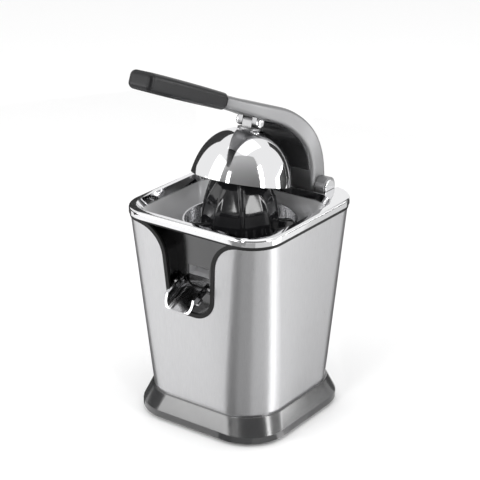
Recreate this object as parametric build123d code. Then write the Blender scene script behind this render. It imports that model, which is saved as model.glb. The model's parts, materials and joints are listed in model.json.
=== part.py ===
from build123d import *
import math
import os

# A lever citrus press. A tapered steel casing stands on a flared base and holds a juice bowl with a
# spout. A fluted cone turns in the bowl, driven from below by a geared motor that starts when the cone
# is pushed down, and a gooseneck lever brings a dome down over it.
# Millimetres. +Z is up and -Y is the front, where the spout and the grip point. The origin is where the
# drive axis meets the surface that the press stands on. Lever pieces are drawn with the dome pressed
# home and are then swung up to their resting place.

# Clearances that several pieces share, and how far a cutting shape runs past what it cuts
SEAT_GAP = 0.1
SIDE_GAP = 0.4
TURN_GAP = 0.05
OVERRUN = 30.0

# Base: rubber foot ring, bottom plate and flared skirt
FOOT_HEIGHT = 3.0
FOOT_SINK = 1.5
FOOT_INSET = 21.0
FOOT_CORNER_MORE = 13.0
FOOT_BAND = 9.0
FOOT_SCREW_GAP = 1.2
FOOT_POST_GAP = 1.8
PLATE_THICKNESS = 4.0
VENT_LENGTH = 26.0
VENT_WIDTH = 4.0
VENT_PITCH = 9.0
VENT_COUNT = 5
SKIRT_FLARE = 17.0
SKIRT_CORNER = 42.0
SKIRT_HEIGHT = 24.0
SKIRT_BAND = 7.0
SKIRT_BAND_ROUND = 1.8
SKIRT_WALL = 3.0
SKIRT_EDGE = 2.0
LEDGE_WIDTH = 5.0
LEDGE_THICKNESS = 4.0
BASE_BOSS_RADIUS = 5.0
BASE_SCREW_RADIUS = 1.75
BASE_SCREW_HEAD = 3.4
BASE_SCREW_HEAD_HEIGHT = 2.0
BASE_SCREW_LENGTH = 14.0

# Steel casing, with the notch for the spout in its front and the cord's inlet in its back
CASING_HEIGHT = 179.5
CASING_SEAT = 1.5
CASING_WALL = 1.2
TOP_WIDTH = 164.0
CASING_TAPER = 21.0
BASE_CORNER = 40.0
TOP_CORNER = 30.0
NOTCH_DEPTH = 82.0
NOTCH_TOP_WIDTH = 60.0
NOTCH_FOOT_WIDTH = 48.0
NOTCH_SHOULDER = 32.0
NOTCH_FOOT_ROUND = 21.0
NOTCH_EDGE = 0.6
TRIM_LIP = 2.0
TRIM_PROUD = 0.8
INLET_HEIGHT = 44.0
INLET_RADIUS = 6.0
INLET_BORE = 3.5
INLET_FLANGE = 9.0
INLET_FLANGE_THICKNESS = 2.5
INLET_LENGTH = 12.0

# Juice bowl with its polished rim, spout recess and central chimney
RIM_HEIGHT = 7.0
RIM_PROUD = 1.6
RIM_BAND = 7.0
RIM_ROUND = 2.6
BOWL_DEPTH = 57.0
BOWL_WALL = 2.0
BOWL_FLOOR_INSET = 26.5
BOWL_FLOOR_CORNER_SHARE = 0.865
RECESS_DEPTH = 17.0
RECESS_ROOF = 3.0
OUTLET_WIDTH = 24.0
OUTLET_HEIGHT = 10.0
CHIMNEY_RADIUS = 11.0
CHIMNEY_BORE = 8.0
CHIMNEY_TOP = 9.0
BOWL_RIB_WIDTH = 3.0
BOWL_RIB_COUNT = 4
SEAL_HEIGHT = 4.0

# Strainer basket
STRAINER_INSET = 1.0
STRAINER_WALL = 1.0
STRAINER_HEIGHT = 19.0
STRAINER_EYE = 12.5
STRAINER_ROLL = 1.6
FLOOR_SLOT_MARGIN = 5.0
FLOOR_SLOT_BRIDGE = 4.0
FLOOR_SLOT_WIDTH = 2.0
FLOOR_SLOT_COUNT = 24
FLOOR_SLOT_RINGS = 2
WALL_SLOT_HEIGHT = 9.0
WALL_SLOT_WIDTH = 2.0
WALL_SLOT_COUNT = 36

# Tilting spout
SPOUT_WIDTH = 32.0
SPOUT_WALL = 2.0
SPOUT_SIDE = 12.0
SPOUT_ROUND = 9.0
SPOUT_REACH = 30.0
SPOUT_TAIL = 3.6
SPOUT_SLOPE = 22.0
SPOUT_PIVOT_RISE = -7.0
SPOUT_PIVOT_OUT = 7.0
SPOUT_FLOOR_DROP = 7.0
SPOUT_NOSE = 9.0
SPOUT_TAB = 4.0
SPOUT_TAB_LENGTH = 7.0
SPOUT_LUG_WIDTH = 4.0
SPOUT_LUG_RADIUS = 3.6
SPOUT_PIN_RADIUS = 1.5

# Fluted cone
CONE_DROP = 33.0
CONE_RADIUS = 36.0
CONE_HEIGHT = 64.0
CONE_WALL = 2.6
CONE_RIM_HEIGHT = 4.0
CONE_FIN_COUNT = 4
CONE_FIN_WIDTH = 5.4
CONE_FIN_ROUND = 2.2
CONE_FIN_STAND = 6.0
CONE_TIP_RADIUS = 2.7
CONE_TIP_TAPER = 0.5
CONE_TIP_HEIGHT = 11.5
CONE_TIP_SLIT = 1.0
CONE_TIP_SLIT_DEPTH = 5.0
WING_GAP = 1.5
WING_WIDTH_SHARE = 0.613
WING_THICKNESS = 3.0
WING_BEAD = 2.0
WING_TILT = 38.0
HUB_RADIUS = 9.0
HUB_START = 14.0
CONE_FLOOR_GAP = 4.0
CONE_TURN = 40.0
# Side outline of the cone's panels, as shares of its radius and height
CONE_PANEL_SHARES = ((0.955, 0.0), (0.93, 0.25), (0.83, 0.53), (0.60, 0.80), (0.28, 0.955), (0.09, 0.985))
# Side outline of the fins, as shares of the cone's radius and of the height of their crests
CONE_FIN_SHARES = ((0.99, 0.0), (0.985, 0.27), (0.90, 0.60), (0.66, 0.90), (0.42, 1.0), (0.25, 1.0))
# Round outline that the ribs between the panels are cut back to, so that they run out towards the top
CONE_ROUND_SHARES = ((1.045, 0.0), (1.01, 0.25), (0.885, 0.53), (0.62, 0.80), (0.285, 0.955), (0.09, 0.985))

# Drive: shaft, thrust collar, return spring and starting switch
PLUNGE = 2.5
SHAFT_RADIUS = 5.0
SHAFT_FLAT = 3.8
SHAFT_FLAT_LENGTH = 24.0
SHAFT_RISE = 42.0
SHOULDER_RADIUS = 8.0
SHOULDER_THICKNESS = 3.0
SHOULDER_GAP = 3.0
COLLAR_RADIUS = 13.0
COLLAR_THICKNESS = 3.0
COLLAR_ARM_REACH = 26.0
COLLAR_ARM_WIDTH = 8.0
SPRING_LENGTH = 16.0
SPRING_RADIUS = 10.6
SPRING_WIRE = 1.4
SPRING_TURNS = 4
BUSH_RADIUS = 8.0
BUSH_LENGTH = 11.0
SWITCH_LENGTH = 16.0
SWITCH_WIDTH = 7.0
SWITCH_HEIGHT = 10.0
BUTTON_RADIUS = 2.0
BUTTON_SINK = 4.5

# Gearbox
GEAR_MODULE_FAST = 0.9
GEAR_MODULE_SLOW = 1.1
PINION_TEETH = 12
WHEEL_TEETH = 48
PRESSURE_ANGLE = 20.0
ADDENDUM_SHARE = 0.75
DEDENDUM_SHARE = 1.0
BACKLASH_SHARE = 0.16
GEAR_FACE_FAST = 7.0
GEAR_FACE_SLOW = 8.0
GEAR_ROOF_GAP = 1.5
GEAR_LEVEL_GAP = 4.0
GEARBOX_ROOF = 4.0
GEARBOX_WALL = 3.0
GEARBOX_PLATE = 4.0
GEARBOX_MARGIN = 3.0
LAY_AXLE_RADIUS = 3.0
FRAME_CORNER = 10.0
POST_RADIUS = 5.0
POST_INSET = 8.0
POST_BORE = 2.0
POST_SCREW_HEAD = 3.8
POST_SCREW_HEAD_HEIGHT = 2.5
POST_SCREW_LENGTH = 16.0

# Motor
MOTOR_RADIUS = 26.0
MOTOR_LENGTH = 50.0
MOTOR_WALL = 2.0
MOTOR_BELL = 6.0
MOTOR_SHAFT_RADIUS = 2.5
ROTOR_RADIUS = 19.0
ROTOR_SLOT_COUNT = 8
ROTOR_SLOT = 2.4
MOTOR_SCREW_OUT = 18.0
FAN_RADIUS = 21.0
FAN_HUB = 6.0
FAN_HEIGHT = 7.0
FAN_BLADE = 1.6
FAN_BLADE_COUNT = 8
FAN_GAP = 3.0

# Rear column and hinge bracket
COLUMN_WIDTH = 60.0
COLUMN_DEPTH = 6.0
COLUMN_WALL = 2.5
COLUMN_HEAD_DEPTH = 17.0
BRACKET_GAP = 2.5
BRACKET_MARGIN = 1.6
BRACKET_THICKNESS = 4.0
BRACKET_DROP = 14.0
EAR_WIDTH = 10.0
EAR_RADIUS = 10.0
EAR_FOOT = 16.0
HINGE_INSET = 12.0
HINGE_RISE = 2.5
HINGE_PIN_RADIUS = 4.0
HINGE_BUSH_WALL = 2.0
HINGE_BUSH_LENGTH = 14.0
HINGE_CAP_RADIUS = 8.0
HINGE_CAP_HEIGHT = 1.5
BRACKET_SCREW_RADIUS = 2.0
BRACKET_SCREW_HEAD = 3.8
BRACKET_SCREW_HEAD_HEIGHT = 2.5
BRACKET_SCREW_LENGTH = 9.0
COLUMN_SCREW_SPACING = 36.0

# Lever
REST_LIFT = 15.0
BARREL_RADIUS = 11.0
BARREL_INSET = 38.0
ARM_LEAN = 18.0
ARM_SLOPE = 7.5
ARM_BEND = 58.0
ARM_OVER_PIVOT = 11.0
ARM_NECK_WIDTH = 26.0
ARM_NECK_THICKNESS = 12.0
ARM_YOKE_THICKNESS = 22.0
ARM_NECK_REACH = 60.0
ARM_EDGE_ROUND = 4.0
TANG_WIDTH = 15.0
TANG_THICKNESS = 6.0
TANG_LENGTH = 86.0
COVER_MARGIN = 4.0
COVER_THICKNESS = 3.0
COVER_PROUD = 0.6
COVER_START_SHARE = 0.11
COVER_END_SHARE = 0.54
GRIP_LENGTH = 116.0
GRIP_WIDTH = 27.0
GRIP_THICKNESS = 17.0
GRIP_EDGE_ROUND = 5.5
GRIP_END_ROUND = 5.0
# Stations along the arm from hinge to neck, and how much wider and thicker than the neck it is there
ARM_STATION_SHARES = (0.0, 0.1, 0.2, 0.3, 0.4, 0.5, 0.6, 0.7, 0.8, 0.9, 1.0)
ARM_WIDTH_SHARES = (1.0, 0.99, 0.93, 0.82, 0.64, 0.43, 0.25, 0.12, 0.05, 0.01, 0.0)
ARM_THICKNESS_SHARES = (1.0, 0.96, 0.88, 0.76, 0.61, 0.46, 0.32, 0.19, 0.09, 0.03, 0.0)
# Stations along the grip, and its width and thickness there
GRIP_STATION_SHARES = (0.0, 0.5, 1.0)
GRIP_SIZE_SHARES = (0.92, 1.0, 0.97)

# Press dome and its pivot under the lever
DOME_INSET = 22.0
DOME_HEIGHT = 47.0
DOME_WALL = 2.2
DOME_RIM_RISE = 2.0
DOME_FLAT = 12.0
DOME_SIDE_LEAN = 9.0
DOME_CROWN_LEAN = 14.0
DOME_FULLNESS_SHARE = 1.15
HUB_FLANGE_RADIUS = 11.0
HUB_FLANGE_THICKNESS = 1.5
PIVOT_RISE = 7.5
PIVOT_RADIUS = 2.5
LUG_WIDTH = 10.4
LUG_RADIUS = 5.0
PIVOT_EAR_WIDTH = 5.0
PIVOT_EAR_RADIUS = 5.2
PIVOT_HEAD_RADIUS = 5.2
PIVOT_HEAD_HEIGHT = 3.0
DOME_SCREW_RADIUS = 2.0
DOME_SCREW_HEAD = 5.0
DOME_SCREW_HEAD_HEIGHT = 2.6
DOME_SCREW_REACH = 4.0

# Widths, from the casing's top to what stands in it and under it
base_width = TOP_WIDTH - CASING_TAPER
skirt_width = base_width + SKIRT_FLARE
foot_width = skirt_width - 2 * FOOT_INSET
foot_corner = SKIRT_CORNER - FOOT_INSET + FOOT_CORNER_MORE
foot_inner = foot_width / 2 - FOOT_BAND
bowl_floor_half = TOP_WIDTH / 2 - BOWL_FLOOR_INSET
bowl_back = bowl_floor_half
strainer_radius = bowl_floor_half - STRAINER_INSET
bracket_front = bowl_back + BRACKET_GAP
barrel_width = TOP_WIDTH - 2 * BARREL_INSET

# Heights, from the surface upwards
plate_top = FOOT_HEIGHT + PLATE_THICKNESS
skirt_top = FOOT_HEIGHT + SKIRT_HEIGHT
casing_foot = skirt_top - CASING_SEAT
casing_top = casing_foot + CASING_HEIGHT
notch_foot = casing_top - NOTCH_DEPTH
rim_foot = casing_top + TRIM_LIP
rim_top = rim_foot + RIM_HEIGHT
bowl_floor = rim_top - BOWL_DEPTH
bowl_foot = bowl_floor - BOWL_WALL
cone_foot = rim_top - CONE_DROP
strainer_floor = cone_foot - CONE_FLOOR_GAP
chimney_top = cone_foot + CHIMNEY_TOP
# The drive hangs below the bowl
shoulder_foot = bowl_foot - SHOULDER_GAP - SHOULDER_THICKNESS
collar_foot = shoulder_foot - COLLAR_THICKNESS
gearbox_top = collar_foot - SPRING_LENGTH
slow_gear_foot = gearbox_top - GEARBOX_ROOF - GEAR_ROOF_GAP - GEAR_FACE_SLOW
fast_gear_foot = slow_gear_foot - GEAR_LEVEL_GAP - GEAR_FACE_FAST
frame_top = fast_gear_foot - GEAR_ROOF_GAP
frame_foot = frame_top - GEARBOX_PLATE
motor_foot = frame_foot - MOTOR_LENGTH
slow_centres = GEAR_MODULE_SLOW * (PINION_TEETH + WHEEL_TEETH) / 2
fast_centres = GEAR_MODULE_FAST * (PINION_TEETH + WHEEL_TEETH) / 2
lay_x = slow_centres
motor_x = slow_centres - fast_centres
# The lever's hinge at the back and the dome's pivot over the drive axis, with the dome pressed home
hinge_y = TOP_WIDTH / 2 - HINGE_INSET
hinge_z = rim_top + HINGE_RISE
bracket_top = rim_top - BRACKET_DROP
bracket_foot = bracket_top - BRACKET_THICKNESS
ear_inner = barrel_width / 2 + SIDE_GAP
ear_outer = ear_inner + EAR_WIDTH
bracket_half = ear_outer + BRACKET_MARGIN
dome_radius = hinge_y - DOME_INSET
dome_foot = rim_top + DOME_RIM_RISE
dome_top = dome_foot + DOME_HEIGHT
pivot_z = dome_top + PIVOT_RISE
pivot_ear_inner = LUG_WIDTH / 2 + SIDE_GAP
pivot_ear_outer = pivot_ear_inner + PIVOT_EAR_WIDTH
column_front = bracket_front + SIDE_GAP
column_screw_y = foot_inner - FOOT_SCREW_GAP - BASE_SCREW_HEAD
recess_back = TOP_WIDTH / 2 - RECESS_DEPTH
spout_pivot_y = -recess_back - SPOUT_PIVOT_OUT
spout_pivot_z = bowl_floor + SPOUT_PIVOT_RISE


def disc(radius, low, high, x=0.0, y=0.0):
    """Upright cylinder between two heights."""
    return Pos(x, y, low) * Cylinder(radius, high - low, align=(Align.CENTER, Align.CENTER, Align.MIN))


def tube(bore, radius, low, high, x=0.0, y=0.0):
    """Upright tube between two heights."""
    return disc(radius, low, high, x, y) - disc(bore, low, high, x, y)


def rod(radius, left, right, y, z):
    """Cylinder along X between two places."""
    turned = Rot(0, 90, 0) * Cylinder(radius, right - left, align=(Align.CENTER, Align.CENTER, Align.MIN))
    return Pos(left, y, z) * turned


def block(low, high):
    """Box between two opposite corners."""
    size = [b - a for a, b in zip(low, high)]
    return Pos(*low) * Box(*size, align=(Align.MIN, Align.MIN, Align.MIN))


def turned(points):
    """Solid turned about the drive axis from a closed outline of (radius, height) points."""
    return revolve(Plane.XZ * make_face(Polyline(*points, close=True)), Axis.Z)


def rounded_square(width, corner, z):
    """Level rounded square on the drive axis."""
    return Pos(0, 0, z) * RectangleRounded(width, width, corner)


def square_bar(width, corner, low, high):
    """Upright bar of rounded square section."""
    return extrude(rounded_square(width, corner, low), high - low)


def casing_size(z, inset):
    """Width and corner radius of the casing's outside at a height, taken in by an inset."""
    share = (z - casing_foot) / CASING_HEIGHT
    width = base_width + share * CASING_TAPER
    corner = BASE_CORNER + share * (TOP_CORNER - BASE_CORNER)
    return width - 2 * inset, corner - inset


def casing_solid(low, high, inset):
    """The casing's tapered form between two heights, as a solid."""
    sections = [rounded_square(*casing_size(z, inset), z) for z in (low, high)]
    return loft(sections, ruled=True)


def four_corners(half):
    """Places at the corners of a level square."""
    return [(sx * half, sy * half) for sx in (-1, 1) for sy in (-1, 1)]


def boss_places():
    """The skirt's screw bosses stand on the inner edge of its ledge, at the corners."""
    corner = BASE_CORNER - CASING_WALL - LEDGE_WIDTH
    return four_corners(base_width / 2 - BASE_CORNER + corner / math.sqrt(2))


def post_half():
    """How far out the posts stand: their screws come just inside the corners of the foot ring."""
    inside = foot_corner - FOOT_BAND - FOOT_POST_GAP - BASE_SCREW_HEAD
    return foot_width / 2 - foot_corner + inside / math.sqrt(2)


def post_places():
    """The posts stand near the corners of the gearbox plate."""
    return four_corners(post_half())


def column_foot_places():
    """The column's foot is held by two screws in front of its web, inside the foot ring."""
    return [(-COLUMN_SCREW_SPACING / 2, column_screw_y), (COLUMN_SCREW_SPACING / 2, column_screw_y)]


def base_screw_places():
    """Everything that the bottom plate carries is screwed to it from below."""
    return boss_places() + post_places() + column_foot_places()


def base_screw_holes(gap):
    """The base screws, each with a gap all round."""
    head_top = FOOT_HEIGHT + BASE_SCREW_HEAD_HEIGHT
    screws = []
    for x, y in base_screw_places():
        head = disc(BASE_SCREW_HEAD + gap, FOOT_HEIGHT, head_top, x, y)
        screws.append(head + disc(BASE_SCREW_RADIUS + gap, head_top, FOOT_HEIGHT + BASE_SCREW_LENGTH, x, y))
    return Part() + screws


def foot_bar(gap, low, high):
    """The foot ring's plan between two heights, widened by a gap."""
    outer = square_bar(foot_width + 2 * gap, foot_corner + gap, low, high)
    return outer - square_bar(2 * (foot_inner - gap), foot_corner - FOOT_BAND - gap, low, high)


def foot_ring():
    """Rubber ring that the press stands on, set in a groove of the bottom plate."""
    return foot_bar(0, 0, FOOT_HEIGHT + FOOT_SINK)


def base_plate():
    """Bottom plate with the foot's groove, air slots under the fan and screw holes with sunk heads."""
    width = skirt_width - 2 * SKIRT_WALL - 2 * SEAT_GAP
    plate = square_bar(width, SKIRT_CORNER - SKIRT_WALL - SEAT_GAP, FOOT_HEIGHT, plate_top)
    plate -= foot_bar(SEAT_GAP, FOOT_HEIGHT, FOOT_HEIGHT + FOOT_SINK)
    places = GridLocations(VENT_LENGTH + VENT_PITCH, VENT_PITCH, 2, VENT_COUNT)
    slots = Sketch() + places * SlotOverall(VENT_LENGTH, VENT_WIDTH)
    plate -= extrude(Pos(motor_x, 0, FOOT_HEIGHT) * slots, PLATE_THICKNESS)
    return plate - base_screw_holes(SEAT_GAP)


def base_screws():
    """Screws up through the bottom plate into the skirt's bosses, the posts and the column's foot."""
    return base_screw_holes(0)


def base_skirt():
    """Flared skirt: an upright band, a bevel up to the casing and a ledge that the casing stands on."""
    band_top = FOOT_HEIGHT + SKIRT_BAND
    edge = SEAT_GAP + SKIRT_EDGE
    bevel = loft([rounded_square(skirt_width, SKIRT_CORNER, band_top),
                  rounded_square(base_width + 2 * edge, BASE_CORNER + edge, skirt_top)], ruled=True)
    skirt = square_bar(skirt_width, SKIRT_CORNER, FOOT_HEIGHT, band_top) + bevel
    rounded = skirt.edges().group_by(Axis.Z)[0]
    skirt = fillet(rounded, SKIRT_BAND_ROUND)
    inner_width = skirt_width - 2 * SKIRT_WALL
    inner_corner = SKIRT_CORNER - SKIRT_WALL
    ledge_foot = casing_foot - LEDGE_THICKNESS
    ledge_width, ledge_corner = casing_size(casing_foot, CASING_WALL + LEDGE_WIDTH)
    skirt -= square_bar(inner_width, inner_corner, FOOT_HEIGHT, band_top)
    under_ledge = casing_size(casing_foot, SKIRT_WALL - edge)
    skirt -= loft([rounded_square(inner_width, inner_corner, band_top),
                   rounded_square(*under_ledge, ledge_foot)], ruled=True)
    skirt -= square_bar(ledge_width, ledge_corner, ledge_foot, casing_foot)
    skirt -= casing_solid(casing_foot, skirt_top + OVERRUN, -SEAT_GAP)
    for x, y in boss_places():
        skirt += disc(BASE_BOSS_RADIUS, plate_top, casing_foot, x, y)
    return skirt - base_screw_holes(SEAT_GAP)


def notch_outline(grow, top):
    """Front view of the spout notch, from its round foot up to its flared shoulders, grown by an offset.
    The shoulders run out a little above the casing's edge, so that they meet it at a slant."""
    foot, head = NOTCH_FOOT_WIDTH / 2, NOTCH_TOP_WIDTH / 2
    far = TOP_WIDTH
    level = casing_top + NOTCH_EDGE
    points = [(-far, level), (-head, level), (-foot, notch_foot), (foot, notch_foot)]
    points += [(head, level), (far, level), (far, level + far), (-far, level + far)]
    face = make_face(Polyline(*points, close=True))
    face = fillet(face.vertices().group_by(Axis.Y)[0], NOTCH_FOOT_ROUND)
    shoulders = [v for v in face.vertices() if abs(v.Y - level) < SEAT_GAP and abs(v.X) < head + SEAT_GAP]
    face = fillet(shoulders, NOTCH_SHOULDER)
    if grow:
        face = offset(face, grow)
    below = Pos(0, top - far) * Rectangle(2 * far, 2 * far)
    return Plane.XZ * (face & below)


def front_prism(face, back, front):
    """Front-view outline made solid between two distances in front of the drive axis."""
    return extrude(Pos(0, -back, 0) * face, front - back)


def inlet_hole():
    """Hole for the cord's inlet, from the drive axis out through the back."""
    along = (Align.CENTER, Align.CENTER, Align.MIN)
    bar = Cylinder(INLET_RADIUS + SEAT_GAP, TOP_WIDTH, align=along)
    return Pos(0, 0, INLET_HEIGHT) * Rot(-90, 0, 0) * bar


def casing():
    """Wrap of sheet steel with the spout notch and the cord's inlet hole."""
    outer = casing_solid(casing_foot, casing_top, 0)
    inner = casing_solid(casing_foot - OVERRUN, casing_top + OVERRUN, CASING_WALL)
    shell = outer - inner
    shell -= front_prism(notch_outline(0, casing_top + OVERRUN), 0, TOP_WIDTH)
    return shell - inlet_hole()


def casing_trim(shell):
    """Black seal pushed over the casing's top edge and round the notch."""
    low = notch_foot - OVERRUN
    outer = casing_solid(low, casing_top + OVERRUN, -TRIM_PROUD)
    inner = casing_solid(low - OVERRUN, casing_top + OVERRUN, CASING_WALL + TRIM_PROUD)
    band = outer - inner
    far = TOP_WIDTH
    front = front_prism(notch_outline(TRIM_LIP, rim_foot), 0, far)
    front -= front_prism(notch_outline(-TRIM_LIP, rim_foot + OVERRUN), 0, far)
    edge = block((-far, -far, casing_top), (far, 0, rim_foot))
    front += edge & front_prism(notch_outline(TRIM_LIP, rim_foot), 0, far)
    front -= front_prism(notch_outline(-TRIM_LIP, casing_top), 0, far)
    back = block((-far, 0, casing_top + NOTCH_EDGE - TRIM_LIP), (far, far, rim_foot))
    return (band & (front + back)) - shell


def cord_inlet():
    """Rubber bush in the casing's back that the mains lead comes in through."""
    back = casing_size(INLET_HEIGHT + INLET_FLANGE, 0)[0] / 2 + SEAT_GAP
    turn = Pos(0, back, INLET_HEIGHT) * Rot(-90, 0, 0)
    along = (Align.CENTER, Align.CENTER, Align.MIN)
    inner = INLET_LENGTH - INLET_FLANGE_THICKNESS
    stem = Pos(0, 0, -inner) * Cylinder(INLET_RADIUS, INLET_LENGTH, align=along)
    flange = Cone(INLET_FLANGE, INLET_RADIUS, INLET_FLANGE_THICKNESS, align=along)
    bore = Pos(0, 0, -inner) * Cylinder(INLET_BORE, INLET_LENGTH, align=along)
    return turn * (stem + flange - bore)


def bowl_section(half, back, corner, z):
    """Level section of the bowl: a rounded rectangle that is cut short towards the back."""
    return Pos(0, (back - half) / 2, z) * RectangleRounded(2 * half, back + half, corner)


def bowl_half(z):
    """Half the width of the bowl's inside at a height."""
    mouth = TOP_WIDTH / 2 + RIM_PROUD - RIM_BAND
    return bowl_floor_half + (mouth - bowl_floor_half) * (z - bowl_floor) / BOWL_DEPTH


def bowl_loft(low, high, wall):
    """The bowl's tapered form between two heights, grown outwards by a wall."""
    sections = []
    for z in (low, high):
        share = (z - bowl_floor) / BOWL_DEPTH
        mouth_corner = TOP_CORNER + RIM_PROUD - RIM_BAND
        floor_corner = BOWL_FLOOR_CORNER_SHARE * bowl_floor_half
        corner = floor_corner + share * (mouth_corner - floor_corner)
        sections.append(bowl_section(bowl_half(z) + wall, bowl_back + wall, corner + wall, z))
    return loft(sections, ruled=True)


def spout_lug(side):
    """Lug on the recess's back wall that holds one of the spout's pins."""
    inner = SPOUT_WIDTH / 2 + SIDE_GAP
    left = inner if side > 0 else -inner - SPOUT_LUG_WIDTH
    low = (left, spout_pivot_y, spout_pivot_z - SPOUT_LUG_RADIUS)
    high = (left + SPOUT_LUG_WIDTH, -recess_back + BOWL_WALL / 2, spout_pivot_z + SPOUT_LUG_RADIUS)
    end = rod(SPOUT_LUG_RADIUS, left, left + SPOUT_LUG_WIDTH, spout_pivot_y, spout_pivot_z)
    return block(low, high) + end


def juice_bowl():
    """Bowl with its polished rim, the recess behind the notch, the outlet and the shaft's chimney."""
    rim = square_bar(TOP_WIDTH + 2 * RIM_PROUD, TOP_CORNER + RIM_PROUD, rim_foot, rim_top)
    rim = fillet(rim.edges().group_by(Axis.Z)[-1], RIM_ROUND)
    bowl = bowl_loft(bowl_foot, rim_foot, BOWL_WALL) + rim - bowl_loft(bowl_floor, rim_top + OVERRUN, 0)
    far = TOP_WIDTH
    inside = casing_solid(plate_top, rim_foot, CASING_WALL + TRIM_PROUD + SIDE_GAP)
    bowl += front_prism(notch_outline(BOWL_WALL - TRIM_LIP, rim_foot), recess_back - BOWL_WALL, far) & inside
    outlet = OUTLET_WIDTH / 2
    inner = bowl_floor_half - BOWL_WALL
    outlet_top = bowl_floor + OUTLET_HEIGHT
    bowl += block((-outlet - BOWL_WALL, -recess_back + BOWL_WALL / 2, bowl_foot),
                  (outlet + BOWL_WALL, -inner, outlet_top + BOWL_WALL))
    bowl -= front_prism(notch_outline(-TRIM_LIP, rim_foot - RECESS_ROOF), recess_back, far)
    bowl += disc(CHIMNEY_RADIUS, bowl_foot, chimney_top)
    rib_top = strainer_floor - STRAINER_WALL
    rib = block((0, -BOWL_RIB_WIDTH / 2, bowl_floor), (inner - BOWL_WALL, BOWL_RIB_WIDTH / 2, rib_top))
    for turn in range(BOWL_RIB_COUNT):
        bowl += Rot(0, 0, 360 * (turn + 1 / 2) / BOWL_RIB_COUNT) * rib
    for side in (-1, 1):
        bowl += spout_lug(side)
    bowl -= rod(SPOUT_PIN_RADIUS + SEAT_GAP, -SPOUT_WIDTH, SPOUT_WIDTH, spout_pivot_y, spout_pivot_z)
    bowl -= block((-outlet, -recess_back - BOWL_WALL, bowl_floor), (outlet, -inner + BOWL_WALL, outlet_top))
    bowl -= disc(CHIMNEY_BORE, bowl_foot, chimney_top)
    side = bracket_half + SIDE_GAP
    return bowl - block((-side, bowl_back + BOWL_WALL, bowl_foot), (side, far, rim_top))


def shaft_seal():
    """Lip seal in the mouth of the chimney, round the drive shaft."""
    return tube(SHAFT_RADIUS + TURN_GAP, CHIMNEY_BORE - SEAT_GAP, chimney_top - SEAL_HEIGHT, chimney_top)


def strainer():
    """Basket of thin sheet, with slots in its floor and its wall and a rim turned in."""
    foot = strainer_floor - STRAINER_WALL
    top = foot + STRAINER_HEIGHT
    inner = strainer_radius - STRAINER_WALL
    basket = disc(strainer_radius, foot, top) - disc(inner, strainer_floor, top)
    basket += tube(strainer_radius - STRAINER_ROLL, strainer_radius, top - STRAINER_ROLL, top)
    basket -= disc(STRAINER_EYE, foot, strainer_floor)
    slots = []
    apart = (inner - STRAINER_EYE - FLOOR_SLOT_MARGIN) / FLOOR_SLOT_RINGS
    for ring in range(FLOOR_SLOT_RINGS):
        radius = inner - apart * (ring + 1 / 2)
        count = FLOOR_SLOT_COUNT // (ring + 1)
        length = apart - FLOOR_SLOT_BRIDGE
        slot = Pos(radius, 0, strainer_floor) * Box(length, FLOOR_SLOT_WIDTH, 4 * STRAINER_WALL)
        slots += [Rot(0, 0, 360 * k / count) * slot for k in range(count)]
    height = (strainer_floor + top) / 2
    slot = Pos(strainer_radius, 0, height) * Box(STRAINER_ROLL * 3, WALL_SLOT_WIDTH, WALL_SLOT_HEIGHT)
    slots += [Rot(0, 0, 360 * k / WALL_SLOT_COUNT) * slot for k in range(WALL_SLOT_COUNT)]
    return basket - slots


def trough_outline(inset, top):
    """Front view of the spout's trough: upright sides and a rounded floor, taken in by an inset."""
    low = -SPOUT_FLOOR_DROP + inset
    width = SPOUT_WIDTH - 2 * inset
    base = (Align.CENTER, Align.MIN)
    closed = RectangleRounded(width, 2 * (top - low), SPOUT_ROUND - inset, align=base)
    return Plane.XZ * Pos(0, low) * (closed & Rectangle(width, top - low, align=base))


def spout():
    """Tilting trough at the foot of the notch: open above, cut back at its nose, a thumb tab each side."""
    half = SPOUT_WIDTH / 2
    floor = -SPOUT_FLOOR_DROP
    side_top = floor + SPOUT_SIDE
    trough = front_prism(trough_outline(0, side_top), -SPOUT_TAIL, SPOUT_REACH)
    hollow = trough_outline(SPOUT_WALL, side_top + OVERRUN)
    trough -= front_prism(hollow, -SPOUT_TAIL - OVERRUN, SPOUT_REACH + OVERRUN)
    nose = Plane.YZ * make_face(Polyline((-SPOUT_REACH, side_top), (-SPOUT_REACH, floor + SPOUT_WALL),
                                         (-SPOUT_REACH + SPOUT_NOSE, side_top), close=True))
    trough -= extrude(nose, SPOUT_WIDTH, both=True)
    tab_back = -SPOUT_REACH + SPOUT_NOSE + SPOUT_TAB_LENGTH
    reach = SPOUT_TAB + SPOUT_WALL / 2
    for left in (-half - SPOUT_TAB, half + SPOUT_TAB - reach):
        trough += block((left, tab_back - SPOUT_TAB_LENGTH, 0), (left + reach, tab_back, SPOUT_WALL))
    plan = Pos(0, -SPOUT_REACH / 2 + SPOUT_TAIL / 2) * RectangleRounded(
        SPOUT_WIDTH + 2 * SPOUT_TAB, SPOUT_REACH + SPOUT_TAIL, SPOUT_TAB)
    trough &= extrude(plan, SPOUT_SIDE, both=True)
    trough -= rod(SPOUT_PIN_RADIUS + TURN_GAP, -half, half, 0, 0)
    return Pos(0, spout_pivot_y, spout_pivot_z) * Rot(SPOUT_SLOPE, 0, 0) * trough


def spout_pins():
    """Two stub pins that the spout tilts on."""
    inner = SPOUT_WIDTH / 2 - SPOUT_WALL
    outer = SPOUT_WIDTH / 2 + SIDE_GAP + SPOUT_LUG_WIDTH
    place = (spout_pivot_y, spout_pivot_z)
    right = rod(SPOUT_PIN_RADIUS, inner, outer, *place)
    left = rod(SPOUT_PIN_RADIUS, -outer, -inner, *place)
    return Part() + [right, left]


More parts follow.
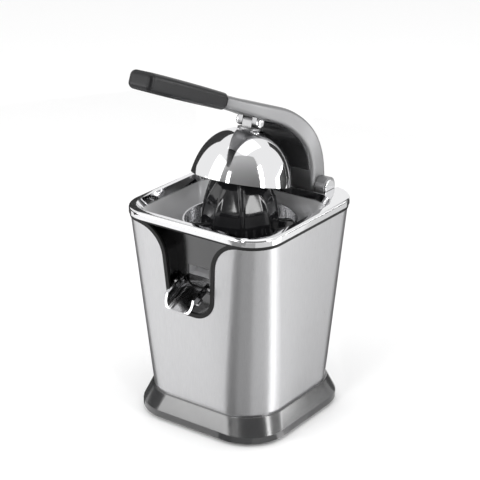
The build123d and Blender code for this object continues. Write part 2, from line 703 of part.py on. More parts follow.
def side_outline(shares, height, axis_share):
    """Half outline of the cone from its foot over its shoulder to the axis, as a closed face."""
    points = [(CONE_RADIUS * r, height * z) for r, z in shares]
    curve = Spline(*points)
    last = (0, height * axis_share)
    close = Polyline(points[-1], last, (0, 0), points[0])
    return make_face(curve + close)


def cone_panels():
    """Eight panels, each curved in side view and straight across, that meet in ribs and round off above."""
    half = side_outline(CONE_PANEL_SHARES, CONE_HEIGHT, CONE_PANEL_SHARES[-1][1])
    face = Plane.XZ * (half + mirror(half, Plane.YZ))
    sides = 2 * CONE_FIN_COUNT
    prism = extrude(face, 2 * CONE_RADIUS, both=True)
    body = Rot(0, 0, 180 / sides) * prism
    for k in range(1, CONE_FIN_COUNT):
        body &= Rot(0, 0, 180 / sides + 360 * k / sides) * prism
    outline = side_outline(CONE_ROUND_SHARES, CONE_HEIGHT, CONE_ROUND_SHARES[-1][1])
    return body & revolve(Plane.XZ * outline, Axis.Z)


def cone_fins():
    """Tall rounded fins that stand over the shoulder of the cone."""
    crest = CONE_HEIGHT + CONE_FIN_STAND
    points = [(CONE_RADIUS * r, crest * z) for r, z in CONE_FIN_SHARES]
    valley = CONE_HEIGHT - CONE_FIN_STAND
    close = Polyline(points[-1], (CONE_TIP_RADIUS, valley), (0, valley), (0, 0), points[0])
    face = Plane.XZ * make_face(Spline(*points) + close)
    plate = extrude(face, CONE_FIN_WIDTH / 2, both=True)
    plate = fillet(plate.edges().filter_by(GeomType.BSPLINE), CONE_FIN_ROUND)
    return [Rot(0, 0, 360 * k / CONE_FIN_COUNT) * plate for k in range(CONE_FIN_COUNT)]


def cone_wing():
    """Paddle at the cone's foot that sweeps pulp round the strainer: a tilted tongue with a bead on it."""
    root = CONE_RADIUS - 2 * CONE_WALL
    tip = strainer_radius - STRAINER_WALL - WING_GAP
    width = WING_WIDTH_SHARE * (tip - root)
    tongue = Pos((root + tip) / 2, 0) * SlotOverall(tip - root, width)
    blade = extrude(tongue, WING_THICKNESS / 2, both=True)
    blade += rod(WING_BEAD, root, tip - width / 2, width / 2 - WING_BEAD, WING_BEAD / 2)
    lift = width / 2 * math.sin(math.radians(WING_TILT)) + WING_THICKNESS / 2
    return Pos(0, 0, lift) * Rot(WING_TILT, 0, 0) * blade


def shaft_bar(low, high, gap):
    """The drive shaft's flatted end between two heights, grown by a gap."""
    bar = disc(SHAFT_RADIUS + gap, low, high)
    flat = SHAFT_FLAT + gap
    return bar & block((-OVERRUN, -flat, low), (OVERRUN, flat, high))


def cone():
    """Fluted cone: panels and ribs, tall fins, centring tip and two paddles, hollow, with a hub inside."""
    body = cone_panels() + cone_fins() + disc(CONE_RADIUS, 0, CONE_RIM_HEIGHT)
    wing = cone_wing()
    body += [wing, Rot(0, 0, 180) * wing]
    seat = CONE_HEIGHT * CONE_PANEL_SHARES[-1][1] - CONE_WALL
    tip_top = CONE_HEIGHT + CONE_TIP_HEIGHT
    base = (Align.CENTER, Align.CENTER, Align.MIN)
    tip = Cone(CONE_TIP_RADIUS, CONE_TIP_RADIUS - CONE_TIP_TAPER, tip_top - seat, align=base)
    body += Pos(0, 0, seat) * tip
    slit = CONE_TIP_SLIT / 2
    body -= block((0, -slit, tip_top - CONE_TIP_SLIT_DEPTH), (CONE_TIP_RADIUS, slit, tip_top))
    hollow = [(0, 0)] + [(CONE_RADIUS * r - CONE_WALL, CONE_HEIGHT * z) for r, z in CONE_PANEL_SHARES[:-2]]
    r, z = CONE_PANEL_SHARES[-2]
    hollow += [(CONE_RADIUS * r - CONE_WALL, CONE_HEIGHT * z - CONE_WALL), (0, seat)]
    body -= turned(hollow)
    body += disc(HUB_RADIUS, HUB_START, SHAFT_RISE + CONE_WALL)
    body += tube(SHAFT_RADIUS, HUB_RADIUS, HUB_START, seat)
    flats = SHAFT_RISE - SHAFT_FLAT_LENGTH
    body -= disc(SHAFT_RADIUS + SEAT_GAP, HUB_START, flats + SEAT_GAP)
    body -= shaft_bar(flats, SHAFT_RISE + SEAT_GAP, SEAT_GAP)
    return Pos(0, 0, cone_foot) * Rot(0, 0, CONE_TURN) * body


def drive_shaft():
    """Shaft with a shoulder that rests on the thrust collar and flats that turn the cone."""
    flats = cone_foot + SHAFT_RISE - SHAFT_FLAT_LENGTH
    end = Rot(0, 0, CONE_TURN) * shaft_bar(flats, cone_foot + SHAFT_RISE, 0)
    shaft = disc(SHAFT_RADIUS, slow_gear_foot, flats) + end
    return shaft + disc(SHOULDER_RADIUS, shoulder_foot, shoulder_foot + SHOULDER_THICKNESS)


def thrust_collar():
    """Collar under the shaft's shoulder, held up by the spring, with an arm over the switch's button."""
    arm = block((-COLLAR_ARM_REACH, -COLLAR_ARM_WIDTH / 2, collar_foot),
                (0, COLLAR_ARM_WIDTH / 2, shoulder_foot))
    collar = disc(COLLAR_RADIUS, collar_foot, shoulder_foot) + arm
    return collar - disc(SHAFT_RADIUS + TURN_GAP, collar_foot, shoulder_foot)


def return_spring():
    """Coil spring between the gearbox and the thrust collar, with a seat gap at both ends."""
    low = gearbox_top + SPRING_WIRE / 2 + SEAT_GAP
    rise = (SPRING_LENGTH - SPRING_WIRE - 2 * SEAT_GAP) / SPRING_TURNS
    steps = 8

    def place(turn):
        angle = 2 * math.pi * turn
        return (SPRING_RADIUS * math.cos(angle), SPRING_RADIUS * math.sin(angle), low + rise * turn)

    quarters = range(4 * SPRING_TURNS)
    arcs = [ThreePointArc(place(k / 4), place((2 * k + 1) / steps), place((k + 1) / 4)) for k in quarters]
    path = Wire(arcs)
    wire = Plane(path @ 0, z_dir=path % 0) * Circle(SPRING_WIRE / 2)
    print("spring: gap between turns", round(rise - SPRING_WIRE, 3), "mm")
    return sweep(wire, path)


def shaft_bush():
    """Bearing bush in the gearbox roof."""
    top = gearbox_top + BUSH_LENGTH - GEARBOX_ROOF
    return tube(SHAFT_RADIUS + TURN_GAP, BUSH_RADIUS, gearbox_top - GEARBOX_ROOF, top)


def switch_place():
    """The switch's button stands under the end of the collar's arm."""
    return -COLLAR_ARM_REACH + COLLAR_ARM_WIDTH / 2


def start_switch():
    """Switch on the gearbox roof that starts the motor when the cone is pushed down."""
    x = switch_place()
    low = (x - SWITCH_LENGTH / 2, -SWITCH_WIDTH / 2, gearbox_top)
    body = block(low, (x + SWITCH_LENGTH / 2, SWITCH_WIDTH / 2, gearbox_top + SWITCH_HEIGHT))
    top = gearbox_top + SWITCH_HEIGHT
    return body - disc(BUTTON_RADIUS + TURN_GAP, top - BUTTON_SINK - PLUNGE - SIDE_GAP, top, x)


def switch_button():
    """The switch's button, just under the collar's arm."""
    low = gearbox_top + SWITCH_HEIGHT - BUTTON_SINK
    return disc(BUTTON_RADIUS, low, collar_foot - SEAT_GAP, switch_place())


def gear_points(module, teeth, phase):
    """Outline of an involute gear with short teeth, one tooth centred on the phase angle."""
    pitch = module * teeth / 2
    slope = math.radians(PRESSURE_ANGLE)
    base = pitch * math.cos(slope)
    root = pitch - DEDENDUM_SHARE * module
    tip = pitch + ADDENDUM_SHARE * module
    half_tooth = math.pi / (2 * teeth) - BACKLASH_SHARE * module / (2 * pitch)

    def half_angle(radius):
        lean = math.acos(min(base / radius, 1))
        return half_tooth + math.tan(slope) - slope - math.tan(lean) + lean

    start = max(base, root)
    flank = [root] if root < base else []
    flank += [start, (start + tip) / 2, tip]
    points = []
    for k in range(teeth):
        centre = math.radians(phase) + 2 * math.pi * k / teeth
        rising = [(r, centre - half_angle(r)) for r in flank]
        falling = [(r, centre + half_angle(r)) for r in reversed(flank)]
        points += [(r * math.cos(a), r * math.sin(a)) for r, a in rising + falling]
    return points


def gear(module, teeth, phase, low, face, x):
    """Spur gear standing on a height."""
    outline = make_face(Polyline(*gear_points(module, teeth, phase), close=True))
    return extrude(Pos(x, 0, low) * outline, face)


def output_gear():
    """Large gear on the drive shaft; it slides in mesh when the shaft is pushed down."""
    wheel = gear(GEAR_MODULE_SLOW, WHEEL_TEETH, 0, slow_gear_foot, GEAR_FACE_SLOW, 0)
    return wheel - disc(SHAFT_RADIUS + SEAT_GAP, slow_gear_foot, slow_gear_foot + GEAR_FACE_SLOW)


def lay_gear():
    """Middle gear: a wheel that the motor turns and, above it, the pinion that turns the output gear."""
    half_step = 180 / PINION_TEETH
    low = frame_top + SIDE_GAP
    roof = gearbox_top - GEARBOX_ROOF
    wheel = gear(GEAR_MODULE_FAST, WHEEL_TEETH, 180, fast_gear_foot, GEAR_FACE_FAST, lay_x)
    pinion_foot = fast_gear_foot + GEAR_FACE_FAST
    pinion_face = roof - GEAR_ROOF_GAP - pinion_foot
    pinion = gear(GEAR_MODULE_SLOW, PINION_TEETH, 180 + half_step, pinion_foot, pinion_face, lay_x)
    hub = disc(LAY_AXLE_RADIUS + GEARBOX_WALL / 2, low, roof - SIDE_GAP, lay_x)
    return wheel + pinion + hub - disc(LAY_AXLE_RADIUS + TURN_GAP, low, roof, lay_x)


def lay_axle():
    """Fixed axle of the middle gear, from the gearbox plate to its roof."""
    return disc(LAY_AXLE_RADIUS, frame_foot, gearbox_top, lay_x)


def motor_pinion():
    """Small gear on the motor's shaft."""
    wheel = gear(GEAR_MODULE_FAST, PINION_TEETH, 180 / PINION_TEETH, fast_gear_foot, GEAR_FACE_FAST, motor_x)
    top = fast_gear_foot + GEAR_FACE_FAST
    return wheel - disc(MOTOR_SHAFT_RADIUS + SEAT_GAP, fast_gear_foot, top, motor_x)


def gear_plan(margin):
    """Plan of the space round both gear wheels, as the hull of two circles grown by a margin."""
    slow = GEAR_MODULE_SLOW * (WHEEL_TEETH / 2 + 1) + margin
    fast = GEAR_MODULE_FAST * (WHEEL_TEETH / 2 + 1) + margin
    return make_hull(Circle(slow).edges() + (Pos(lay_x, 0) * Circle(fast)).edges())


def gearbox_cover():
    """Closed cover over the gears, with the shaft's bush and the middle axle's end in its roof."""
    outer = extrude(Pos(0, 0, frame_top) * gear_plan(GEARBOX_MARGIN + GEARBOX_WALL), gearbox_top - frame_top)
    inner_top = gearbox_top - GEARBOX_ROOF
    cover = outer - extrude(Pos(0, 0, frame_top) * gear_plan(GEARBOX_MARGIN), inner_top - frame_top)
    cover -= disc(BUSH_RADIUS + SEAT_GAP, inner_top, gearbox_top)
    for x, y in post_places():
        cover -= disc(POST_SCREW_HEAD + SIDE_GAP, frame_top, gearbox_top, x, y)
    return cover - disc(LAY_AXLE_RADIUS + SEAT_GAP, inner_top, gearbox_top, lay_x)


def gearbox_plate():
    """Plate that the motor hangs from and the gears stand over, carried on four posts."""
    plate = square_bar(2 * (post_half() + POST_INSET), FRAME_CORNER, frame_foot, frame_top)
    plate += extrude(Pos(0, 0, frame_foot) * gear_plan(GEARBOX_MARGIN + GEARBOX_WALL), GEARBOX_PLATE)
    plate -= disc(MOTOR_SHAFT_RADIUS + SIDE_GAP, frame_foot, frame_top, motor_x)
    plate -= disc(LAY_AXLE_RADIUS + SEAT_GAP, frame_foot, frame_top, lay_x)
    for x, y in post_places() + motor_screw_places():
        plate -= disc(POST_BORE + SEAT_GAP, frame_foot, frame_top, x, y)
    return plate


def frame_posts():
    """Four posts from the bottom plate to the gearbox plate, bored for a screw at both ends."""
    posts = []
    for x, y in post_places():
        post = disc(POST_RADIUS, plate_top, frame_foot, x, y)
        screw_end = FOOT_HEIGHT + BASE_SCREW_LENGTH + SEAT_GAP
        post -= disc(BASE_SCREW_RADIUS + SEAT_GAP, plate_top, screw_end, x, y)
        end = frame_top - POST_SCREW_LENGTH - SEAT_GAP
        posts.append(post - disc(POST_BORE + SEAT_GAP, end, frame_foot, x, y))
    return Part() + posts


def headed_screws(places, radius, head, head_height, seat, length):
    """Screws with round heads standing on a seat and reaching down from it."""
    screws = []
    for x, y in places:
        screws.append(disc(radius, seat - length, seat, x, y) + disc(head, seat, seat + head_height, x, y))
    return Part() + screws


def post_screws():
    """Screws that hold the gearbox plate on its posts."""
    return headed_screws(post_places(), POST_BORE, POST_SCREW_HEAD, POST_SCREW_HEAD_HEIGHT,
                         frame_top, POST_SCREW_LENGTH)


def motor_screw_places():
    """The motor's two screws stand either side of its shaft, clear of the gears."""
    return [(motor_x, -MOTOR_SCREW_OUT), (motor_x, MOTOR_SCREW_OUT)]


def motor_screws():
    """Screws that hold the motor under the gearbox plate."""
    length = GEARBOX_PLATE + MOTOR_WALL
    seat = frame_top
    return headed_screws(motor_screw_places(), POST_BORE, POST_SCREW_HEAD, GEAR_ROOF_GAP, seat, length)


def motor_can():
    """Steel can of the motor, open below, closed above round its shaft."""
    can = disc(MOTOR_RADIUS, motor_foot + MOTOR_BELL, frame_foot, motor_x)
    can -= disc(MOTOR_RADIUS - MOTOR_WALL, motor_foot + MOTOR_BELL, frame_foot - MOTOR_WALL, motor_x)
    can -= disc(MOTOR_SHAFT_RADIUS + TURN_GAP, frame_foot - MOTOR_WALL, frame_foot, motor_x)
    for x, y in motor_screw_places():
        can -= disc(POST_BORE + SEAT_GAP, frame_foot - MOTOR_WALL, frame_foot, x, y)
    return can


def motor_bell():
    """End bell that closes the can and bears the shaft."""
    bell = disc(MOTOR_RADIUS, motor_foot, motor_foot + MOTOR_BELL, motor_x)
    spigot_top = motor_foot + MOTOR_BELL + MOTOR_WALL
    bell += disc(MOTOR_RADIUS - MOTOR_WALL - SEAT_GAP, motor_foot, spigot_top, motor_x)
    return bell - disc(MOTOR_SHAFT_RADIUS + TURN_GAP, motor_foot, spigot_top, motor_x)


def rotor():
    """Slotted armature on the motor's shaft."""
    low = motor_foot + MOTOR_BELL + 2 * MOTOR_WALL
    high = frame_foot - 2 * MOTOR_WALL
    core = disc(ROTOR_RADIUS, low, high, motor_x)
    slot = block((ROTOR_RADIUS / 2, -ROTOR_SLOT / 2, low), (ROTOR_RADIUS + MOTOR_WALL, ROTOR_SLOT / 2, high))
    for k in range(ROTOR_SLOT_COUNT):
        core -= Pos(motor_x, 0, 0) * Rot(0, 0, 360 * k / ROTOR_SLOT_COUNT) * slot
    return core - disc(MOTOR_SHAFT_RADIUS + SEAT_GAP, low, high, motor_x)


def motor_shaft():
    """Motor shaft from the fan up to the pinion."""
    low = motor_foot - FAN_GAP - FAN_HEIGHT
    return disc(MOTOR_SHAFT_RADIUS, low, fast_gear_foot + GEAR_FACE_FAST, motor_x)


def fan():
    """Cooling fan under the motor: a hub, a backing disc and straight blades."""
    top = motor_foot - FAN_GAP
    low = top - FAN_HEIGHT
    wheel = disc(FAN_HUB, low, top, motor_x) + disc(FAN_RADIUS, top - FAN_BLADE, top, motor_x)
    blade = block((FAN_HUB / 2, -FAN_BLADE / 2, low), (FAN_RADIUS, FAN_BLADE / 2, top))
    for k in range(FAN_BLADE_COUNT):
        wheel += Pos(motor_x, 0, 0) * Rot(0, 0, 360 * k / FAN_BLADE_COUNT) * blade
    return wheel - disc(MOTOR_SHAFT_RADIUS + SEAT_GAP, low, top, motor_x)


def rear_column():
    """Steel channel at the back that carries the lever's pull down to the bottom plate."""
    half = COLUMN_WIDTH / 2
    back = column_front + COLUMN_DEPTH
    column = block((-half, column_front, plate_top), (half, back, bracket_foot))
    web = column_front + COLUMN_WALL
    column -= block((-half + COLUMN_WALL, web, plate_top), (half - COLUMN_WALL, back, bracket_foot))
    head_back = column_front + COLUMN_HEAD_DEPTH
    column += block((-half, column_front, bracket_foot - COLUMN_WALL), (half, head_back, bracket_foot))
    foot_front = 2 * column_screw_y - column_front
    column += block((-half, foot_front, plate_top), (half, web, plate_top + COLUMN_WALL))
    column -= inlet_hole()
    return column - base_screw_holes(SEAT_GAP) - bracket_screw_bars(SEAT_GAP)


def bracket_screw_places():
    """The bracket's screws go down into the column's head."""
    y = column_front + COLUMN_HEAD_DEPTH / 2
    return [(-COLUMN_SCREW_SPACING / 2, y), (COLUMN_SCREW_SPACING / 2, y)]


def bracket_screw_bars(gap):
    """Shanks of the bracket's screws, grown by a gap."""
    low = bracket_top - BRACKET_SCREW_LENGTH
    radius = BRACKET_SCREW_RADIUS + gap
    return Part() + [disc(radius, low - gap, bracket_top, x, y) for x, y in bracket_screw_places()]


def bracket_screws():
    """Screws that hold the hinge bracket on the column."""
    return headed_screws(bracket_screw_places(), BRACKET_SCREW_RADIUS, BRACKET_SCREW_HEAD,
                         BRACKET_SCREW_HEAD_HEIGHT, bracket_top, BRACKET_SCREW_LENGTH)


def hinge_bracket():
    """Cast bracket behind the bowl: a plate across the back of the casing's mouth, with two hinge ears."""
    plate = block((-bracket_half, bracket_front, bracket_foot), (bracket_half, TOP_WIDTH, bracket_top))
    plate &= casing_solid(bracket_foot, bracket_top, CASING_WALL + TRIM_PROUD + SIDE_GAP)
    foot = Pos(hinge_y, bracket_top) * Rectangle(EAR_FOOT, BRACKET_THICKNESS, align=(Align.CENTER, Align.MAX))
    profile = make_hull(foot.edges() + (Pos(hinge_y, hinge_z) * Circle(EAR_RADIUS)).edges())
    ear = extrude(Plane.YZ * profile, EAR_WIDTH)
    bracket = plate + Pos(ear_inner, 0, 0) * ear + Pos(-ear_outer, 0, 0) * ear
    bracket -= rod(HINGE_PIN_RADIUS + SEAT_GAP, -ear_outer, ear_outer, hinge_y, hinge_z)
    return bracket - bracket_screw_bars(SEAT_GAP)


def hinge_pin():
    """Pin through both ears that the lever swings on."""
    return rod(HINGE_PIN_RADIUS, -ear_outer, ear_outer, hinge_y, hinge_z)


def hinge_caps():
    """Two polished caps over the ends of the hinge pin."""
    cap = disc(HINGE_CAP_RADIUS, 0, HINGE_CAP_HEIGHT)
    cap = fillet(cap.edges().group_by(Axis.Z)[-1], HINGE_CAP_HEIGHT * 2 / 3)
    right = Pos(ear_outer, hinge_y, hinge_z) * Rot(0, 90, 0) * cap
    return Part() + [right, mirror(right, Plane.YZ)]


def lifted(shape):
    """Swings a lever piece from the pressed position up to its resting place."""
    return shape.rotate(Axis((0, hinge_y, hinge_z), (-1, 0, 0)), REST_LIFT)


def arm_points():
    """Centre line of the lever in side view: hinge, bend and the neck where the grip starts, as (y, z)."""
    lean = math.tan(math.radians(ARM_LEAN))
    slope = math.tan(math.radians(ARM_SLOPE))
    over = pivot_z + ARM_OVER_PIVOT
    rise = (over - slope * hinge_y - hinge_z) / (1 - slope * lean)
    bend = (hinge_y - lean * rise, hinge_z + rise)
    end = -ARM_NECK_REACH
    return (hinge_y, hinge_z), bend, (end, over - slope * end)


def arm_path():
    """The arm's centre line from the hinge to the neck where the grip starts."""
    return FilletPolyline(*[(0, y, z) for y, z in arm_points()], radius=ARM_BEND)


def share_at(shares, at):
    """Straight-line value between the stations of a table of shares."""
    for k in range(1, len(ARM_STATION_SHARES)):
        low, high = ARM_STATION_SHARES[k - 1], ARM_STATION_SHARES[k]
        if at <= high:
            part = (at - low) / (high - low)
            return shares[k - 1] + part * (shares[k] - shares[k - 1])
    return shares[-1]


def arm_size(at):
    """Width and thickness of the arm at a station."""
    width = ARM_NECK_WIDTH + share_at(ARM_WIDTH_SHARES, at) * (barrel_width - ARM_NECK_WIDTH)
    extra = ARM_YOKE_THICKNESS - ARM_NECK_THICKNESS
    return width, ARM_NECK_THICKNESS + share_at(ARM_THICKNESS_SHARES, at) * extra


def arm_section(path, at):
    """Plane across the arm at a station: X across, Y towards the outside of the bend."""
    return Plane(path @ at, x_dir=(1, 0, 0), z_dir=path % at)


def neck_plane():
    """Plane across the end of the neck, where the grip starts."""
    return arm_section(arm_path(), 1)


def arm_cover():
    """Dark insert along the inside of the arm's bend."""
    path = arm_path()
    sections = []
    between = [at for at in ARM_STATION_SHARES if COVER_START_SHARE < at < COVER_END_SHARE]
    for at in [COVER_START_SHARE] + between + [COVER_END_SHARE]:
        width, thickness = arm_size(at)
        centre = -thickness / 2 - COVER_PROUD + COVER_THICKNESS / 2
        shape = RectangleRounded(width - 2 * COVER_MARGIN, COVER_THICKNESS, COVER_THICKNESS / 3)
        sections.append(arm_section(path, at) * Pos(0, centre) * shape)
    return loft(sections)


def lever_arm(cover):
    """Cast gooseneck: hinge barrel, wide yoke that narrows to the neck, and ears for the dome's pivot."""
    path = arm_path()
    sections = []
    for at in ARM_STATION_SHARES:
        width, thickness = arm_size(at)
        sections.append(arm_section(path, at) * RectangleRounded(width, thickness, ARM_EDGE_ROUND))
    arm = loft(sections)
    half = barrel_width / 2
    arm += rod(BARREL_RADIUS, -half, half, hinge_y, hinge_z)
    tang = RectangleRounded(TANG_WIDTH, TANG_THICKNESS, TANG_THICKNESS / 3)
    arm += extrude(neck_plane() * tang, TANG_LENGTH)
    for left in (-pivot_ear_outer, pivot_ear_inner):
        right = left + PIVOT_EAR_WIDTH
        arm += rod(PIVOT_EAR_RADIUS, left, right, 0, pivot_z)
        arm += block((left, -PIVOT_EAR_RADIUS, pivot_z), (right, PIVOT_EAR_RADIUS, pivot_z + ARM_OVER_PIVOT))
    bush = HINGE_PIN_RADIUS + TURN_GAP + HINGE_BUSH_WALL
    arm -= rod(bush + SEAT_GAP, -half - OVERRUN, half + OVERRUN, hinge_y, hinge_z)
    arm -= rod(PIVOT_RADIUS + SEAT_GAP, -pivot_ear_outer, pivot_ear_outer, 0, pivot_z)
    arm -= rod(LUG_RADIUS + SIDE_GAP, -pivot_ear_inner, pivot_ear_inner, 0, pivot_z)
    for left in (-barrel_width, pivot_ear_outer):
        arm -= rod(PIVOT_HEAD_RADIUS + SEAT_GAP, left, left + barrel_width - pivot_ear_outer, 0, pivot_z)
    return arm - cover


def hinge_bushes():
    """Two bearing bushes in the ends of the lever's barrel."""
    half = barrel_width / 2
    bore = HINGE_PIN_RADIUS + TURN_GAP
    bushes = []
    for left in (-half, half - HINGE_BUSH_LENGTH):
        right = left + HINGE_BUSH_LENGTH
        bush = rod(bore + HINGE_BUSH_WALL, left, right, hinge_y, hinge_z)
        bushes.append(bush - rod(bore, left, right, hinge_y, hinge_z))
    return Part() + bushes


def grip():
    """Soft black grip over the arm's tang, a little fuller in the middle and drawn in at its end."""
    start = neck_plane()
    sections = []
    for at, size in zip(GRIP_STATION_SHARES, GRIP_SIZE_SHARES):
        shape = RectangleRounded(GRIP_WIDTH * size, GRIP_THICKNESS * size, GRIP_EDGE_ROUND * size)
        sections.append(start.offset(GRIP_LENGTH * at + SEAT_GAP) * shape)
    sleeve = loft(sections)
    end = sleeve.faces().sort_by(Axis(start.origin, start.z_dir))[-1]
    sleeve = fillet(end.edges(), GRIP_END_ROUND)
    pocket = RectangleRounded(TANG_WIDTH + 2 * SEAT_GAP, TANG_THICKNESS + 2 * SEAT_GAP, TANG_THICKNESS / 3)
    return sleeve - extrude(start * pocket, TANG_LENGTH + SEAT_GAP)


def dome_curve(radius, height, flat):
    """Side of the dome from its rim to the flat of its crown, as a smooth curve of (radius, height)."""
    side = math.radians(90 + DOME_SIDE_LEAN)
    crown = math.radians(180 - DOME_CROWN_LEAN)
    tangents = [(math.cos(side), math.sin(side)), (math.cos(crown), math.sin(crown))]
    fullness = [DOME_FULLNESS_SHARE, DOME_FULLNESS_SHARE]
    return Spline((radius, 0), (flat, height), tangents=tangents, tangent_scalars=fullness)


def press_dome():
    """Polished dome, open below, that presses the fruit on to the cone."""
    outer = dome_curve(dome_radius, DOME_HEIGHT, DOME_FLAT)
    inner = dome_curve(dome_radius - DOME_WALL, DOME_HEIGHT - DOME_WALL, DOME_FLAT - DOME_WALL)
    bore = DOME_SCREW_RADIUS + SEAT_GAP
    joined = outer + Polyline((DOME_FLAT, DOME_HEIGHT), (bore, DOME_HEIGHT), (bore, DOME_HEIGHT - DOME_WALL),
                              (DOME_FLAT - DOME_WALL, DOME_HEIGHT - DOME_WALL))
    joined += inner + Line((dome_radius - DOME_WALL, 0), (dome_radius, 0))
    return Pos(0, 0, dome_foot) * revolve(Plane.XZ * make_face(joined), Axis.Z)


def dome_hub():
    """Lug on the dome's crown that hangs on the pivot pin."""
    half = LUG_WIDTH / 2
    hub = disc(HUB_FLANGE_RADIUS, dome_top, dome_top + HUB_FLANGE_THICKNESS)
    hub += block((-half, -LUG_RADIUS, dome_top), (half, LUG_RADIUS, pivot_z))
    hub += rod(LUG_RADIUS, -half, half, 0, pivot_z)
    hub -= rod(PIVOT_RADIUS + TURN_GAP, -half, half, 0, pivot_z)
    return hub - disc(DOME_SCREW_RADIUS + SEAT_GAP, dome_top, dome_top + DOME_SCREW_REACH + SEAT_GAP)


def dome_screw():
    """Screw from inside the dome up into its lug."""
    seat = dome_top - DOME_WALL
    screw = disc(DOME_SCREW_RADIUS, seat, dome_top + DOME_SCREW_REACH)
    return screw + disc(DOME_SCREW_HEAD, seat - DOME_SCREW_HEAD_HEIGHT, seat)


def pivot_pin():
    """Pin through the lever's ears and the dome's lug, with a rounded head outside each ear."""
    pin = rod(PIVOT_RADIUS, -pivot_ear_outer, pivot_ear_outer, 0, pivot_z)
    head = rod(PIVOT_HEAD_RADIUS, pivot_ear_outer, pivot_ear_outer + PIVOT_HEAD_HEIGHT, 0, pivot_z)
    head = fillet(head.edges().group_by(Axis.X)[-1], PIVOT_HEAD_HEIGHT * 3 / 4)
    return pin + head + mirror(head, Plane.YZ)


NODES = {}


def main():
    """Draw every piece and write it to its own file."""
    shell = casing()
    NODES["foot_ring"] = foot_ring()
    NODES["base_plate"] = base_plate()
    NODES["base_screws"] = base_screws()
    NODES["base_skirt"] = base_skirt()
    NODES["casing"] = shell
    NODES["casing_trim"] = casing_trim(shell)
    NODES["cord_inlet"] = cord_inlet()
    NODES["juice_bowl"] = juice_bowl()
    NODES["shaft_seal"] = shaft_seal()
    NODES["strainer"] = strainer()
    NODES["spout"] = spout()
    NODES["spout_pins"] = spout_pins()
    NODES["cone"] = cone()
    for piece in (drive_shaft, thrust_collar, return_spring, shaft_bush, start_switch, switch_button,
                  output_gear, lay_gear, lay_axle, motor_pinion, gearbox_cover, gearbox_plate,
                  frame_posts, post_screws, motor_screws, motor_can, motor_bell, rotor, motor_shaft,
                  fan, rear_column, bracket_screws, hinge_bracket, hinge_pin, hinge_caps):
        NODES[piece.__name__] = piece()
    cover = arm_cover()
    NODES["arm_cover"] = lifted(cover)
    NODES["lever_arm"] = lifted(lever_arm(cover))
    for piece in (hinge_bushes, grip, press_dome, dome_hub, dome_screw, pivot_pin):
        NODES[piece.__name__] = lifted(piece())
    os.makedirs("parts", exist_ok=True)
    for name, shape in NODES.items():
        export_step(shape, f"parts/{name}.step")


main()
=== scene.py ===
# %% [markdown]
# # A lever citrus press
# A tapered steel casing stands on a dark skirt and carries a polished juice bowl. A glossy black cone turns
# in the bowl, and a dome on a gooseneck lever presses the fruit on to it. The solids come from the packed
# model, which stays where it is. This lesson gives each piece its finish, makes the pieces whose curves
# want finer surfaces than the solids have, and lights the press like a product picture.

# %% Load the frame
import json
import math

import bmesh
import bpy
import numpy as np
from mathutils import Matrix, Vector


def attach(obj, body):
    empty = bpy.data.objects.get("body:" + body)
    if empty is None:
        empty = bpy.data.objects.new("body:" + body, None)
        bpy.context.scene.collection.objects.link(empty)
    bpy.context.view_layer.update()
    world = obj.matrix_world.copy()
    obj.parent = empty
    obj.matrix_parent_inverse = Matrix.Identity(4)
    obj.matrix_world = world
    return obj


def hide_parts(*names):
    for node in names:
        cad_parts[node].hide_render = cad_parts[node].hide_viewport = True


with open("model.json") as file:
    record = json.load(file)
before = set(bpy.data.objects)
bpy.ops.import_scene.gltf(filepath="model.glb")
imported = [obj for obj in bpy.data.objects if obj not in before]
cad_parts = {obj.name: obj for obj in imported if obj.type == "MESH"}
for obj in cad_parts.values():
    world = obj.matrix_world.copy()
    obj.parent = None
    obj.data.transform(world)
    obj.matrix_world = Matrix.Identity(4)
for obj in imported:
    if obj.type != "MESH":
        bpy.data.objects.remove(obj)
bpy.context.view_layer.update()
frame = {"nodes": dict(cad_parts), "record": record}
nodes = frame["nodes"]

# %% [markdown]
# ## Finishes as arithmetic
# A finish on a real press is never one flat colour: brushing, cast grain and finger marks change it from
# place to place. Such patterns could be built by linking nodes one by one, but a page of links is hard to
# read. So a small class wraps a socket and turns plain arithmetic into Math nodes. Every other node comes
# from one method, which sets the node's own settings first and then its sockets.


# %% Sockets that can be added and multiplied
class Signal:
    """One output socket of a node tree. Arithmetic on it adds Math nodes to the same tree."""

    def __init__(self, board, socket):
        self.board = board
        self.socket = socket

    def math(self, operation, first, second):
        """One Math node on two signals or numbers."""
        return self.board.add("ShaderNodeMath", {"operation": operation}, {0: first, 1: second})

    def __add__(self, other):
        return self.math("ADD", self, other)

    def __sub__(self, other):
        return self.math("SUBTRACT", self, other)

    def __rsub__(self, other):
        return self.math("SUBTRACT", other, self)

    def __mul__(self, other):
        return self.math("MULTIPLY", self, other)

    __radd__ = __add__
    __rmul__ = __mul__

    def or_larger(self, other):
        """The larger of two signals."""
        return self.math("MAXIMUM", self, other)

    def between(self, low, high):
        """0 below low, 1 above high and a soft step in between."""
        return self.board.add("ShaderNodeMapRange", {"interpolation_type": "SMOOTHSTEP"},
                              {"Value": self, "From Min": low, "From Max": high})


class Board:
    """The emptied node tree of a material or a world. One method adds all its nodes."""

    def __init__(self, owner):
        owner.use_nodes = True
        self.tree = owner.node_tree
        self.tree.nodes.clear()

    def add(self, kind, settings=None, sockets=None, output=0):
        """Adds a node, sets its settings, then fills its sockets with links or values."""
        node = self.tree.nodes.new(kind)
        for key, value in (settings or {}).items():
            setattr(node, key, value)
        for key, value in (sockets or {}).items():
            if isinstance(value, Signal):
                self.tree.links.new(value.socket, node.inputs[key])
            else:
                node.inputs[key].default_value = value
        return Signal(self, node.outputs[output]) if node.outputs else None


print("sockets ready")

